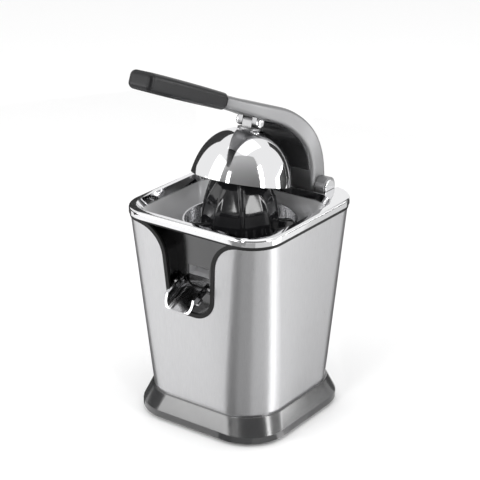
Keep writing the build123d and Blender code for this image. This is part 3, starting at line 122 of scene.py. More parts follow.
# %% [markdown]
# ## A finish
# Brushing and grain run evenly over a real piece and round its edges. A pattern could be laid on through a
# flattened copy of the surface, which needs seams. Read at the place in space, it needs none. Every finish
# here ends in one Principled shader. A pattern may change its colour, roughness, metal share or bump, and
# what is the same all over is a number.


# %% Materials on Object coordinates
# numbers of the colour sockets of a Mix node, which also has sockets for numbers and vectors
MIX_SHARE, MIX_LOW, MIX_HIGH, MIX_COLOUR = 0, 6, 7, 2


class Finish(Board):
    """A material whose patterns lie on Object coordinates."""

    def __init__(self, name):
        self.material = bpy.data.materials.new(name)
        super().__init__(self.material)
        self.place = self.add("ShaderNodeTexCoord", output="Object")

    def noise(self, per_metre, detail=2.0, roughness=0.5):
        """Noise with so many features in a metre along X, Y and Z."""
        stretched = self.add("ShaderNodeMapping", None, {"Vector": self.place, "Scale": per_metre})
        return self.add("ShaderNodeTexNoise", None, {"Vector": stretched, "Scale": 1.0, "Detail": detail,
                                                     "Roughness": roughness})

    def along(self, axis):
        """One Object coordinate in metres, counted X, Y, Z from 0."""
        return self.add("ShaderNodeSeparateXYZ", None, {0: self.place}, output=axis)

    def mix(self, share, low, high):
        """Colour between two colours."""
        pair = {MIX_SHARE: share, MIX_LOW: (*low, 1.0), MIX_HIGH: (*high, 1.0)}
        return self.add("ShaderNodeMix", {"data_type": "RGBA"}, pair, output=MIX_COLOUR)

    def shade(self, colour, roughness, bump=None, **others):
        """Ends the finish in a Principled shader. A bump is its height signal, its strength and its depth
        in metres. Others are more sockets of the shader, with _ for each space in their names."""
        sockets = {"Base Color": colour, "Roughness": roughness}
        if bump:
            height, strength, depth = bump
            sockets["Normal"] = self.add("ShaderNodeBump", None, {"Height": height, "Strength": strength,
                                                                  "Distance": depth})
        sockets.update({key.replace("_", " "): value for key, value in others.items()})
        shader = self.add("ShaderNodeBsdfPrincipled", None, sockets)
        self.add("ShaderNodeOutputMaterial", None, {"Surface": shader})
        return self.material


def times(share, colour):
    """A colour made darker or lighter: each of its parts times a share."""
    return tuple(share * part for part in colour)


print("finish helpers ready")

# %% [markdown]
# ## Steel, bright and brushed
# The casing is stainless sheet, brushed up and down. The bowl and the dome are the same steel polished, with
# only faint wiping marks left, and the bowl's inside is satin. Brushing could be a picture of scratches, but
# that blurs close up and repeats. A noise squeezed to hair-thin streaks does neither: it moves the roughness
# a lot and the colour a little. The strainer, spout and inner sheet metal lie between brushed and polished.


# %% Metal finishes
# features in a metre along X, Y and Z
STEEL_PATCH, WIPE_MARK, STEEL_CLOUD = (9.0, 9.0, 5.0), (60.0, 60.0, 25.0), (14.0, 14.0, 14.0)
BLAST_GRAIN, CAST_PATCH = (2600.0, 2600.0, 2600.0), (26.0, 26.0, 26.0)
FINE_UPRIGHT = (1500.0, 1500.0, 14.0)
# depths of the bumps in metres, and the strength of the cast one
STREAK_DEEP, GRAIN_DEEP, GRAIN_STRONG = 0.00005, 0.00003, 0.12
# how far the patterns move the roughness
STREAK_ROUGH, WIPE_ROUGH, PATCH_ROUGH = 0.12, 0.05, 0.10
# shares of streaks and patches in the colour, and the darkest tone as a share of the light one
STREAK_TONE, PATCH_TONE, STREAK_DARK, CAST_DARK = 0.7, 0.3, 0.9, 0.93
# the bowl's inside begins between these heights, and its recess ends between these places along Y
BOWL_EDGE, RECESS_EDGE = (0.2050, 0.2075), (-0.0645, -0.0630)
# the third share is painted shade: how far the colour is darkened in the recess
BOWL_ROUGH, BOWL_SCATTER, RECESS_PAINTED_SHADE, CLOUD_DARK = 0.14, 0.5, 0.82, 0.05
BLACK = (0.0, 0.0, 0.0)


def brushed(name, light, rough, streaks, grain):
    """Brushed metal: thin streaks change the roughness, wide soft patches change the colour a little."""
    finish = Finish(name)
    streak = finish.noise(streaks, detail=3.0, roughness=0.65)
    patch = finish.noise(STEEL_PATCH, detail=1.0)
    tone = streak * STREAK_TONE + patch * PATCH_TONE
    colour = finish.mix(tone.between(0.25, 0.75), times(STREAK_DARK, light), light)
    dull = streak * STREAK_ROUGH + (rough - STREAK_ROUGH / 2)
    return finish.shade(colour, dull, bump=(streak, grain, STREAK_DEEP), Metallic=1.0)


def polished(name, light, rough):
    """Polished metal with faint wiping marks. Inside the bowl it is satin: rougher, and less of a metal, so
    that it scatters light. In the recess in front, where the spout leaves, it stays metal, and its colour is
    darkened there as painted shade."""
    finish = Finish(name)
    wipe = finish.noise(WIPE_MARK, detail=4.0, roughness=0.7)
    cloud = finish.noise(STEEL_CLOUD, detail=1.0)
    rearward, up = finish.along(1), finish.along(2)
    in_bowl = 1.0 - up.between(*BOWL_EDGE)
    in_recess = in_bowl * (1.0 - rearward.between(*RECESS_EDGE))
    satin = in_bowl - in_recess
    # painted shade: the colour is darkened in the recess in front, where less light falls
    tone = cloud * CLOUD_DARK + (1.0 - CLOUD_DARK) - RECESS_PAINTED_SHADE * in_recess
    colour = finish.mix(tone, BLACK, light)
    dull = wipe.between(0.35, 0.8) * WIPE_ROUGH + BOWL_ROUGH * in_bowl + rough
    return finish.shade(colour, dull, Metallic=1.0 - BOWL_SCATTER * satin)


def cast(name, light, rough):
    """Satin casting: a fine blasted grain in the bump and soft patches in the roughness."""
    finish = Finish(name)
    grain = finish.noise(BLAST_GRAIN, detail=2.0)
    patch = finish.noise(CAST_PATCH, detail=2.0)
    colour = finish.mix(patch, times(CAST_DARK, light), light)
    dull = patch * PATCH_ROUGH + (rough - PATCH_ROUGH / 2)
    return finish.shade(colour, dull, bump=(grain, GRAIN_STRONG, GRAIN_DEEP), Metallic=1.0)


FINISHES = {
    "brushed_steel": brushed("brushed_steel", (0.66, 0.66, 0.67), 0.30, FINE_UPRIGHT, 0.05),
    "polished_steel": polished("polished_steel", (0.83, 0.83, 0.84), 0.045),
    "strainer_steel": brushed("strainer_steel", (0.66, 0.66, 0.67), 0.22, (700.0, 700.0, 700.0), 0.05),
    "spout_steel": brushed("spout_steel", (0.66, 0.66, 0.67), 0.14, (160.0, 160.0, 160.0), 0.03),
    "lever_aluminium": cast("lever_aluminium", (0.30, 0.30, 0.305), 0.42),
    "machined_steel": brushed("machined_steel", (0.58, 0.58, 0.59), 0.26, (120.0, 120.0, 1800.0), 0.06),
    "screw_steel": brushed("screw_steel", (0.55, 0.55, 0.55), 0.30, (900.0, 900.0, 900.0), 0.05),
    "plated_sheet": brushed("plated_sheet", (0.58, 0.59, 0.60), 0.34, (300.0, 300.0, 60.0), 0.05),
    "bronze": cast("bronze", (0.62, 0.42, 0.20), 0.34),
    "rotor_iron": brushed("rotor_iron", (0.30, 0.25, 0.22), 0.45, (40.0, 40.0, 2200.0), 0.25),
}
print("metals:", sorted(FINISHES))

# %% [markdown]
# ## Black mouldings and rubber
# The cone and the skirt are glossy mouldings, the grip is a soft sleeve with a pebbled grain, and rubber is
# duller and picks up pale dust. A plain black would do from afar, but its reflections would be as straight
# as in glass. So the mouldings get a slight waviness, which breaks the reflections as on real plastic.


# %% Plastic and rubber finishes
# features in a metre along X, Y and Z
SWELL, HAZE, DUST = (45.0, 45.0, 45.0), (160.0, 160.0, 160.0), (30.0, 30.0, 30.0)
# depths of the bumps in metres
SWELL_DEEP, PEBBLE_DEEP = 0.0008, 0.0002
# how far haze and dust move the roughness, and about what dust adds on average
HAZE_ROUGH, DUST_ROUGH, DUST_MEAN = 0.06, 0.15, 0.07
# darkest and palest colour as a share of the plain one
MOULDED_TONES, PEBBLE_TONES = (0.85, 1.2), (0.7, 1.5)
PEBBLE_TOPS, DUST_TOPS, PEBBLE_SHINE = 0.6, 0.4, 0.3


def tones(colour, shares):
    """The darkest and the palest tone of a colour."""
    return [times(share, colour) for share in shares]


def moulded(name, dark, rough, wave, gloss=0.5, coat=0.0):
    """Moulded plastic: slow waviness in the bump, small clouds in the roughness."""
    finish = Finish(name)
    swell = finish.noise(SWELL, detail=1.0)
    haze = finish.noise(HAZE, detail=3.0)
    colour = finish.mix(haze, *tones(dark, MOULDED_TONES))
    dull = haze.between(0.3, 0.8) * HAZE_ROUGH + rough
    return finish.shade(colour, dull, bump=(swell, wave, SWELL_DEEP), Specular_IOR_Level=gloss,
                        Coat_Weight=coat, Coat_Roughness=rough)


def pebbled(name, dark, rough, size, strong):
    """Soft sleeve or rubber: a pebbled grain in the bump, paler on its tops."""
    finish = Finish(name)
    pebble = finish.noise((size, size, size), detail=3.0, roughness=0.6)
    dust = finish.noise(DUST, detail=4.0)
    tops = pebble.between(0.4, 0.7) * PEBBLE_TOPS + dust * DUST_TOPS
    colour = finish.mix(tops, *tones(dark, PEBBLE_TONES))
    dull = dust * DUST_ROUGH + (rough - DUST_MEAN)
    return finish.shade(colour, dull, bump=(pebble, strong, PEBBLE_DEEP), Specular_IOR_Level=PEBBLE_SHINE)


FINISHES.update({
    "cone_black": moulded("cone_black", (0.010, 0.010, 0.011), 0.07, 0.05, 0.6),
    "base_dark": moulded("base_dark", (0.022, 0.022, 0.023), 0.18, 0.02, 1.0, 0.6),
    "insert_black": moulded("insert_black", (0.022, 0.022, 0.023), 0.12, 0.03),
    "inner_plastic": moulded("inner_plastic", (0.06, 0.06, 0.065), 0.42, 0.05),
    "switch_red": moulded("switch_red", (0.42, 0.04, 0.03), 0.30, 0.03),
    "gear_nylon": moulded("gear_nylon", (0.66, 0.63, 0.54), 0.45, 0.04),
    "grip_black": pebbled("grip_black", (0.008, 0.008, 0.009), 0.34, 1900.0, 0.18),
    "rubber_black": pebbled("rubber_black", (0.008, 0.008, 0.008), 0.55, 1400.0, 0.2),
})
print("finishes:", len(FINISHES))

# %% [markdown]
# ## The solids' finish and shading
# Most pieces of the press are the solids themselves: sheet, castings, screws and gears. A solid's mesh is
# loose triangles, so a rounded corner looks cut. Merging the mesh would smooth it, but a solid must stay as
# it is. So a Weld modifier joins the triangles, and an Edge Split modifier keeps the true edges crisp.

# %% Finish, weld and split the solids
MERGE_WITHIN = 0.000002
CRISP_ANGLE = 28.0
SLOT_OF = {row["node"]: row["material_slot"] for row in frame["record"]["subparts"]}
for node, solid in nodes.items():
    solid.data.materials.clear()
    solid.data.materials.append(FINISHES[SLOT_OF[node]])
    solid.data.shade_smooth()
    weld = solid.modifiers.new("weld", "WELD")
    weld.merge_threshold = MERGE_WITHIN
    split = solid.modifiers.new("crisp", "EDGE_SPLIT")
    split.split_angle = math.radians(CRISP_ANGLE)
print("solids finished and welded:", len(nodes))

# %% [markdown]
# ## Skins from grids
# Triangles are fine for sheet and screws but show on a mirror-bright curve. A Subdivision Surface would
# smooth them only from clean quads. So the glossy curved pieces are made again as grids of points: one
# function of two parameters gives all the points at once, and neighbouring points become quads. Grids that
# belong to one piece go into one mesh, doubled points at seams and poles are merged, and the faces are
# turned outwards.


# %% Grids to meshes
MILLIMETRE = 0.001


def grid_quads(rows, columns, ring):
    """Corner numbers of the quads between neighbours, where point (i, j) has the number i * columns + j.
    Columns close round the piece. A ring also joins its last row to its first."""
    i, j = np.meshgrid(np.arange(rows if ring else rows - 1), np.arange(columns), indexing="ij")
    next_i, next_j = (i + 1) % rows, (j + 1) % columns
    corners = [i * columns + j, i * columns + next_j, next_i * columns + next_j, next_i * columns + j]
    return np.stack(corners, axis=-1).reshape(-1, 4)


def grids_mesh(name, grids, ring):
    """One closed mesh from grids of points in millimetres, each (rows, columns round the piece, xyz)."""
    points, faces, start = [], [], 0
    for grid in grids:
        rows, columns = grid.shape[:2]
        points.append(grid.reshape(-1, 3) * MILLIMETRE)
        faces.append(grid_quads(rows, columns, ring) + start)
        start += rows * columns
    mesh = bpy.data.meshes.new(name)
    mesh.from_pydata(np.concatenate(points).tolist(), [], np.concatenate(faces).tolist())
    shell = bmesh.new()
    shell.from_mesh(mesh)
    bmesh.ops.remove_doubles(shell, verts=shell.verts, dist=MERGE_WITHIN)
    bmesh.ops.recalc_face_normals(shell, faces=shell.faces)
    shell.to_mesh(mesh)
    shell.free()
    return mesh


def make_skin(name, grids, body, slot, node, sharp, ring=False):
    """A smooth piece that stands for a node and rides on its body. Edges over so many degrees stay sharp."""
    mesh = grids_mesh(name, grids, ring)
    mesh.shade_smooth()
    mesh.set_sharp_from_angle(angle=math.radians(sharp))
    mesh.materials.append(FINISHES[slot])
    piece = bpy.data.objects.new(name, mesh)
    bpy.context.scene.collection.objects.link(piece)
    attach(piece, body)
    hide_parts(node)
    print(name, "faces", len(mesh.polygons))


print("grid helpers ready")

# %% [markdown]
# ## The cone's bell
# The cone is the piece that meets the fruit. Its section is an octagon with slightly rounded corners, and
# its side view is a bell. It could be a skin over a few octagons, but that leaves a kink at each. Here the
# bell is one smooth curve turned about the axis, and a formula stretches every ring of it to an octagon.


# %% Bell and octagon
CONE_COLUMNS, BELL_ROWS = 576, 100
EIGHTH, QUARTER = math.pi / 4, math.pi / 2
# radius, and height over the cone's foot
BELL = [(34.4, 4.6), (33.5, 16.0), (29.9, 33.9), (21.6, 51.2), (10.1, 61.1), (3.2, 63.0)]
# height, and how far the corners may stand out there, as a share of the radius
CORNER_LIMIT = [(4.6, 1.062), (16.0, 1.06), (33.9, 1.052), (51.2, 1.03), (61.1, 1.012), (63.0, 1.0)]
CORNER_POWER, CORNER_SOFT = 0.85, 0.006


def smooth_line(points, count):
    """Catmull-Rom curve through points: on each span, the cubic whose end slopes join the neighbours."""
    p = np.array(points, float)
    p = np.vstack([2 * p[0] - p[1], p, 2 * p[-1] - p[-2]])
    at = np.linspace(0, len(points) - 1, count)
    k = np.minimum(at.astype(int), len(points) - 2)
    t = (at - k)[:, None]
    a, b, c, d = p[k], p[k + 1], p[k + 2], p[k + 3]
    return 0.5 * (2 * b + (c - a) * t + (2 * a - 5 * b + 4 * c - d) * t**2 + (3 * b - a - 3 * c + d) * t**3)


def by_height(table):
    """Sizes at every row of the bell, on straight lines between the (height, size) entries of a table."""
    levels, sizes = np.transpose(table)
    return np.interp(height, levels, sizes)


def soft_least(a, b, soft):
    """The smaller of a and b, rounded where they cross: (a + b - sqrt((a - b)^2 + soft^2)) / 2."""
    return 0.5 * (a + b - np.sqrt((a - b) ** 2 + soft**2))


bell = smooth_line(BELL, BELL_ROWS)
radius, height = bell[:, :1], bell[:, 1:]
around = np.linspace(0, 2 * math.pi, CONE_COLUMNS, endpoint=False)
from_flat = np.mod(around, EIGHTH) - EIGHTH / 2
octagon = np.cos(from_flat) ** -CORNER_POWER
stretch = soft_least(octagon, by_height(CORNER_LIMIT), CORNER_SOFT)
print("bell to its corners, widest mm:", round(float((radius * stretch).max()), 2))

# %% [markdown]
# ## Fins and ribs
# Four corners of the octagon grow into fins that stand over the shoulder and bite into the fruit, and the
# four between them carry low ribs. Separate blades would meet the bell in hard creases. Pushing the bell out
# along its own normal where a fin or a rib runs keeps one surface with soft feet, as the moulding has.


# %% Fins and ribs
# height over the cone's foot, and the size there: half the width of a fin, and how far fin and rib stand out
FIN_WIDE = [(4.6, 1.6), (25.0, 2.1), (45.0, 3.1), (60.0, 3.8)]
FIN_HIGH = [(4.6, 0.4), (17.0, 1.1), (30.0, 2.2), (40.0, 3.6), (50.0, 5.8), (58.0, 7.6), (63.0, 8.4)]
RIB_HIGH = [(4.6, 0.5), (10.0, 1.4), (24.0, 1.7), (38.0, 1.0), (47.0, 0.0)]
# radii between which the fins die away at the tip
FIN_FADES = (5.0, 9.5)
# where a fin's crest ends and its flank and its flare reach the bell, in half widths
CREST_END, FLANK_FOOT, FLARE_FOOT = 0.4, 1.05, 2.6
CREST_SHARE, FLARE_SHARE = 0.8, 0.2
RIB_REACH, RIB_SOFT = 4.2, 0.3


def step(value, low, high):
    """Soft step: 3t^2 - 2t^3, with t the share of the way from low to high."""
    t = np.clip((value - low) / (high - low), 0, 1)
    return t * t * (3 - 2 * t)


def off_line(turn):
    """Distance from the nearest of four lines a quarter turn apart: r |sin a|, with a the angle to it."""
    return np.abs(radius * np.sin(np.mod(around + turn, QUARTER) - EIGHTH))


off_fin, off_rib = off_line(EIGHTH), off_line(0.0)
fin_wide = by_height(FIN_WIDE)
fin_high = by_height(FIN_HIGH) * step(radius, *FIN_FADES)
crest = 1 - step(off_fin, CREST_END * fin_wide, FLANK_FOOT * fin_wide)
flare = (1 - np.clip(off_fin / (FLARE_FOOT * fin_wide), 0, 1)) ** 2
rib_falls = np.clip((np.sqrt(off_rib**2 + RIB_SOFT**2) - RIB_SOFT) / RIB_REACH, 0, 1)
push = fin_high * (CREST_SHARE * crest + FLARE_SHARE * flare) + by_height(RIB_HIGH) * (1 - rib_falls) ** 2
slope = np.gradient(bell, axis=0)
normal = np.stack([slope[:, 1], -slope[:, 0]], axis=-1)
normal /= np.linalg.norm(normal, axis=-1, keepdims=True)
shell_r = radius * stretch + push * normal[:, :1]
shell_z = height + push * normal[:, 1:]
print("furthest push mm:", round(float(push.max()), 2))

# %% [markdown]
# ## The hollow
# The real cone is a thin moulding, open below, with a flange round its foot. A Solidify modifier would give
# it a wall, but would swell the fins too. So the grid goes on below the bell: under the flange and up inside
# to a plain roof. The solid's hub is left out of the skin, because nothing sees it there.

# %% Flange and hollow
# radius and height, from the roof of the hollow down and round the flange
UNDER = np.array([(0.0, 56.0), (9.6, 56.0), (19.0, 48.6), (27.3, 31.3), (30.9, 16.0), (31.8, 0.0),
                  (35.4, 0.0), (36.0, 0.6), (36.0, 3.2), (35.5, 4.0), (34.9, 4.4)])
BELL_TOP = 63.2
under_r = np.repeat(UNDER[:, :1], CONE_COLUMNS, axis=1)
under_z = np.repeat(UNDER[:, 1:], CONE_COLUMNS, axis=1)
cone_r = np.concatenate([under_r, shell_r, np.zeros((1, CONE_COLUMNS))])
cone_z = np.concatenate([under_z, shell_z, np.full((1, CONE_COLUMNS), BELL_TOP)])
cone_grid = np.stack([cone_r * np.cos(around), cone_r * np.sin(around), cone_z], axis=-1)
print("cone rows and columns:", cone_grid.shape[:2])

# %% [markdown]
# ## Tip and paddles
# A slit pin at the top centres the fruit, and two tilted paddles at the foot sweep the pulp round. They
# could be cut and joined with Boolean modifiers, which leave long thin faces. As grids of their own they
# stay clean: an outline that is scaled from row to row, and sunk a little into the bell where it starts.


# %% Tip and paddles
SLIT_ANGLE, TIP_COLUMNS = 0.22, 40
# the end of the tip's outline of radius 1: round the slit, and straight across where there is none
SLIT_OPEN = np.array([(0.3, -0.2), (0.0, -0.2), (0.0, 0.2), (0.3, 0.2)])
SLIT_SHUT = np.array([(0.976, -0.2), (0.98, -0.07), (0.98, 0.07), (0.976, 0.2)])
# radius and height of the rows without the slit and with it
TIP_BELOW = [(2.75, 60.0), (2.75, 62.6), (2.5, 70.5)]
TIP_SPLIT = [(2.5, 70.5), (2.3, 75.0), (2.0, 75.5), (0.0, 75.5)]

PADDLE_ROOT, ROOT_STEP, TIP_ROUND_FROM, THINS_FROM = 30.8, 0.4, 45.5, 50.5
HALF_WIDE, HALF_THICK = 6.5, 1.5
BEAD_OFF, BEAD_RADIUS, BEAD_LIFT = 4.5, 2.0, 1.0
EDGE_POWER = 6
PADDLE_TILT = math.radians(38.0)
RUN_ROWS, ROUND_ROWS, FACE_COLUMNS, ROUND_START = 10, 14, 28, 0.1


def centring_tip():
    """A slit round pin: a C-shaped outline, scaled to each row's radius and closed over at the top."""
    arc = np.linspace(SLIT_ANGLE, 2 * math.pi - SLIT_ANGLE, TIP_COLUMNS)
    outline = np.stack([np.cos(arc), np.sin(arc)], axis=-1)
    whole = np.concatenate([outline, SLIT_SHUT])
    split = np.concatenate([outline, SLIT_OPEN])
    rows = [(whole, *row) for row in TIP_BELOW] + [(split, *row) for row in TIP_SPLIT]
    return np.stack([np.insert(shape * size, 2, level, axis=1) for shape, size, level in rows])


def paddle(turn):
    """A tilted tongue with a bead along one edge. Its section is a flat oval, |y|^6 + z^2 = 1 in half widths
    and half thicknesses. The half width ends in a quarter circle and the thickness in a quarter ellipse."""
    bend = TIP_ROUND_FROM + HALF_WIDE * np.sin(np.linspace(ROUND_START, QUARTER, ROUND_ROWS))
    straight = np.linspace(PADDLE_ROOT + ROOT_STEP, TIP_ROUND_FROM, RUN_ROWS)
    x = np.concatenate([[PADDLE_ROOT, PADDLE_ROOT], straight, bend])
    circle = np.sqrt(np.maximum(HALF_WIDE**2 - (x - TIP_ROUND_FROM) ** 2, 0))
    half = np.where(x < TIP_ROUND_FROM, HALF_WIDE, circle)
    thin = np.sqrt(1 - np.clip((x - THINS_FROM) / HALF_THICK, 0, 1) ** 2)
    half[0] = 0.0
    thin[0] = 0.0
    across = np.cos(np.linspace(0, math.pi, FACE_COLUMNS))
    face = HALF_THICK * np.sqrt(1 - across**EDGE_POWER)
    off_bead = HALF_WIDE * across - BEAD_OFF
    bead = np.sqrt(np.maximum(BEAD_RADIUS**2 - off_bead**2, 0)) + BEAD_LIFT
    top = np.where(np.abs(off_bead) < BEAD_RADIUS, np.maximum(face, bead), face)
    y = half[:, None] * np.concatenate([across, across[-2:0:-1]])
    z = thin[:, None] * np.concatenate([top, -face[-2:0:-1]])
    c, s = math.cos(PADDLE_TILT), math.sin(PADDLE_TILT)
    lift = HALF_WIDE * s + HALF_THICK
    grid = np.stack([x[:, None] + 0 * y, y * c - z * s, y * s + z * c + lift], axis=-1)
    return grid * np.array([turn, turn, 1.0])


cone_grids = [cone_grid, centring_tip(), paddle(1.0), paddle(-1.0)]
print("grids of the cone:", [grid.shape[:2] for grid in cone_grids])

# %% [markdown]
# ## The cone in its place
# The cone stands on the drive shaft, turned as in the picture. The object could be moved and turned, but a
# pattern on Object coordinates would slide with it. So the points themselves are turned and lifted.


# %% Cone skin
CONE_FOOT = 181.0
CONE_TURN = math.radians(40.0)


def set_cone(points):
    """Turns points of the cone to its resting angle and stands them in the bowl."""
    c, s = math.cos(CONE_TURN), math.sin(CONE_TURN)
    x, y = points[..., 0], points[..., 1]
    return np.stack([x * c - y * s, x * s + y * c, points[..., 2] + CONE_FOOT], axis=-1)


make_skin("cone_skin", [set_cone(grid) for grid in cone_grids], "spindle", "cone_black", "cone", sharp=50.0)

# %% [markdown]
# ## The dome
# The dome is spun from sheet and polished. A stretched half sphere comes close, but the real side leaves its
# rim and reaches its crown at angles of its own. So each face of the sheet is one cubic with given end
# directions, turned about the axis, with a flat rim and a bored crown between the two. It hangs tilted with
# the lever.


# %% Dome
DOME_FOOT, DOME_RADIUS, DOME_TALL, DOME_SHEET = 216.0, 48.0, 47.0, 2.2
CROWN_RADIUS, CROWN_STEP, CROWN_BORE = 12.0, 0.4, 2.1
SIDE_LEAN, CROWN_LEAN, CURVE_PULL = 9.0, 14.0, 1.15
OUTSIDE_ROWS, INSIDE_ROWS, RIM_ROWS, DOME_COLUMNS = 60, 50, 9, 192
HINGE = np.array([0.0, 70.0, 216.5])
REST_LIFT = math.radians(15.0)


def dome_face(inset, rows):
    """One face of the sheet from rim to crown, inset from the outside: a cubic between two points with end
    directions, each as long as CURVE_PULL times the chord."""
    start = np.array([DOME_RADIUS - inset, 0.0])
    end = np.array([CROWN_RADIUS - inset, DOME_TALL - inset])
    pull = CURVE_PULL * np.linalg.norm(end - start)
    leave, arrive = math.radians(90 + SIDE_LEAN), math.radians(180 - CROWN_LEAN)
    from_rim = pull * np.array([math.cos(leave), math.sin(leave)])
    to_crown = pull * np.array([math.cos(arrive), math.sin(arrive)])
    u = np.linspace(0, 1, rows)[:, None]
    return ((2 * u**3 - 3 * u**2 + 1) * start + (u**3 - 2 * u**2 + u) * from_rim
            + (3 * u**2 - 2 * u**3) * end + (u**3 - u**2) * to_crown)


def turned(profile, columns):
    """Revolves (radius, height) points about the upright axis: x = r cos a, y = r sin a, z = h."""
    angle = np.linspace(0, 2 * math.pi, columns, endpoint=False)
    r, h = profile[:, :1], profile[:, 1:]
    return np.stack([r * np.cos(angle), r * np.sin(angle), h + 0 * angle], axis=-1)


def lifted(points):
    """Swings points from the pressed position up about the hinge to the resting place."""
    y, z = points[..., 1] - HINGE[1], points[..., 2] - HINGE[2]
    c, s = math.cos(REST_LIFT), math.sin(REST_LIFT)
    return np.stack([points[..., 0], HINGE[1] + y * c + z * s, HINGE[2] - y * s + z * c], axis=-1)


outside, inside = dome_face(0.0, OUTSIDE_ROWS), dome_face(DOME_SHEET, INSIDE_ROWS)
crown_out, crown_in = CROWN_RADIUS - CROWN_STEP, CROWN_RADIUS - DOME_SHEET - CROWN_STEP
roof = DOME_TALL - DOME_SHEET
crown = np.array([(crown_out, DOME_TALL), (CROWN_BORE, DOME_TALL), (CROWN_BORE, roof), (crown_in, roof)])
swing = np.linspace(0, math.pi, RIM_ROWS)[1:-1]
rim = np.stack([DOME_RADIUS - DOME_SHEET / 2 * (1 + np.cos(swing)), 0 * swing], axis=-1)
dome_profile = np.concatenate([outside, crown, inside[::-1], rim])
dome_grid = lifted(turned(dome_profile, DOME_COLUMNS) + np.array([0.0, 0.0, DOME_FOOT]))
make_skin("dome_skin", [dome_grid], "dome", "polished_steel", "press_dome", sharp=35.0, ring=True)

# %% [markdown]
# ## The grip
# A soft sleeve over the end of the lever. A cube with a bevel would have flat sides, and a sleeve has none.
# So a rounded rectangle is carried along a straight line, a little fuller in the middle, and drawn in along
# a quarter circle at its end.


# %% Grip
ARM_SLOPE = math.radians(7.5)
NECK = np.array([0.0, -60.0, 289.4])
SIDEWAYS = np.array([1.0, 0.0, 0.0])
FORWARD = np.array([0.0, -math.cos(ARM_SLOPE), math.sin(ARM_SLOPE)])
UPWARD = np.array([0.0, math.sin(ARM_SLOPE), math.cos(ARM_SLOPE)])
GRIP_LENGTH, GRIP_WIDE, GRIP_THICK, GRIP_CORNER, END_ROUND = 116.0, 27.0, 17.0, 5.5, 5.0
LEAST_CORNER = 0.5
# size at the two ends as a share of the middle
START_FULL, END_FULL = 0.92, 0.97
# the first three rows: their places along the grip and how far they are drawn in
START_RUN, START_DRAW = [0.1, 0.1, 0.6], [0.5, 0.5, 0.0]
SLEEVE_FROM, END_GAP = 2.0, 1.0
SLEEVE_ROWS, CURL_ROWS, GRIP_COLUMNS = 40, 14, 96
CORNER_NUDGE = 1e-4


def rounded_outline(wide, thick, corner, count):
    """Rounded rectangles as (rows, count, 2): four quarter circles with straight sides between them."""
    angle = np.linspace(0, 2 * math.pi, count, endpoint=False) + CORNER_NUDGE
    side_x, side_y = np.sign(np.cos(angle)), np.sign(np.sin(angle))
    x = side_x * (wide / 2 - corner)[:, None] + corner[:, None] * np.cos(angle)
    y = side_y * (thick / 2 - corner)[:, None] + corner[:, None] * np.sin(angle)
    return np.stack([x, y], axis=-1)


curl = np.linspace(0, QUARTER, CURL_ROWS)
sleeve = np.linspace(SLEEVE_FROM, GRIP_LENGTH - END_ROUND - END_GAP, SLEEVE_ROWS)
run = np.concatenate([START_RUN, sleeve, GRIP_LENGTH - END_ROUND * (1 - np.sin(curl)), [GRIP_LENGTH]])
draw_in = np.concatenate([START_DRAW, 0 * sleeve, END_ROUND * (1 - np.cos(curl)), [END_ROUND]])
share = run / GRIP_LENGTH
# the parabola through the start's share, 1 in the middle and the end's share
full = (START_FULL * (1 - share) * (1 - 2 * share) + 4 * share * (1 - share)
        + END_FULL * share * (2 * share - 1))
wide, thick = GRIP_WIDE * full - 2 * draw_in, GRIP_THICK * full - 2 * draw_in
corner = np.maximum(GRIP_CORNER * full - draw_in, LEAST_CORNER)
section = rounded_outline(wide, thick, corner, GRIP_COLUMNS)
section[[0, -1]] = 0.0
grip_grid = NECK + run[:, None, None] * FORWARD + section[..., :1] * SIDEWAYS + section[..., 1:] * UPWARD
make_skin("grip_skin", [lifted(grip_grid)], "lever", "grip_black", "grip", sharp=45.0)

# %% [markdown]
# ## The skirt
# The skirt is a dark moulding, a rounded square that changes its size with height. Bevels would round its
# edges, but its corners change their radius too. So its section is walked once round, from the foot up the
# outside, over the lip that holds the casing and down the inside. Small steps at the two edges round them
# off and let them catch the light.

# %% Skirt
SKIRT_COLUMNS = 128
# half width, corner radius, height
SKIRT_WALK = np.array([
    (78.2, 40.2, 3.0), (78.9, 40.9, 3.14), (79.47, 41.47, 3.53), (79.86, 41.86, 4.1), (80.0, 42.0, 4.8),
    (80.0, 42.0, 9.0), (79.97, 42.0, 9.6), (79.86, 42.0, 10.3), (79.6, 42.0, 11.0), (73.92, 42.1, 26.1),
    (73.7, 42.1, 26.6), (73.4, 42.0, 26.9), (73.0, 41.6, 27.0), (71.6, 40.1, 27.0), (71.6, 40.1, 25.5),
    (65.3, 33.8, 25.5), (65.3, 33.8, 21.5), (70.6, 39.1, 21.5), (77.0, 39.0, 10.0), (77.0, 39.0, 3.0)])
skirt_half, skirt_corner, skirt_level = SKIRT_WALK.T
plan = rounded_outline(2 * skirt_half, 2 * skirt_half, skirt_corner, SKIRT_COLUMNS)
skirt_grid = np.concatenate([plan, skirt_level[:, None, None] + 0 * plan[..., :1]], axis=-1)
make_skin("skirt_skin", [skirt_grid], "stand", "base_dark", "base_skirt", sharp=32.0, ring=True)

# %% [markdown]
# ## Floor
# A product picture on white: the press stands on a pale floor that runs out of sight. A curved backdrop is
# the usual way, but it would show in the steel as a band. A large flat floor under a white world has no
# edge near the press.

# %% Floor
scene = bpy.context.scene
scene.view_settings.view_transform = "Standard"
FLOOR_HALF, FLOOR_ROUGH = 6.0, 0.6
FLOOR_LOW, FLOOR_HIGH = (0.93, 0.93, 0.93), (0.95, 0.95, 0.95)
FLOOR_CLOUD = (3.0, 3.0, 3.0)


def stage_card(name, corners, finish):
    """A four-cornered sheet in metres that belongs to the studio and not to the press."""
    mesh = bpy.data.meshes.new(name)
    mesh.from_pydata(np.array(corners).tolist(), [], [(0, 1, 2, 3)])
    mesh.materials.append(finish)
    card = bpy.data.objects.new(name, mesh)
    scene.collection.objects.link(card)
    return card


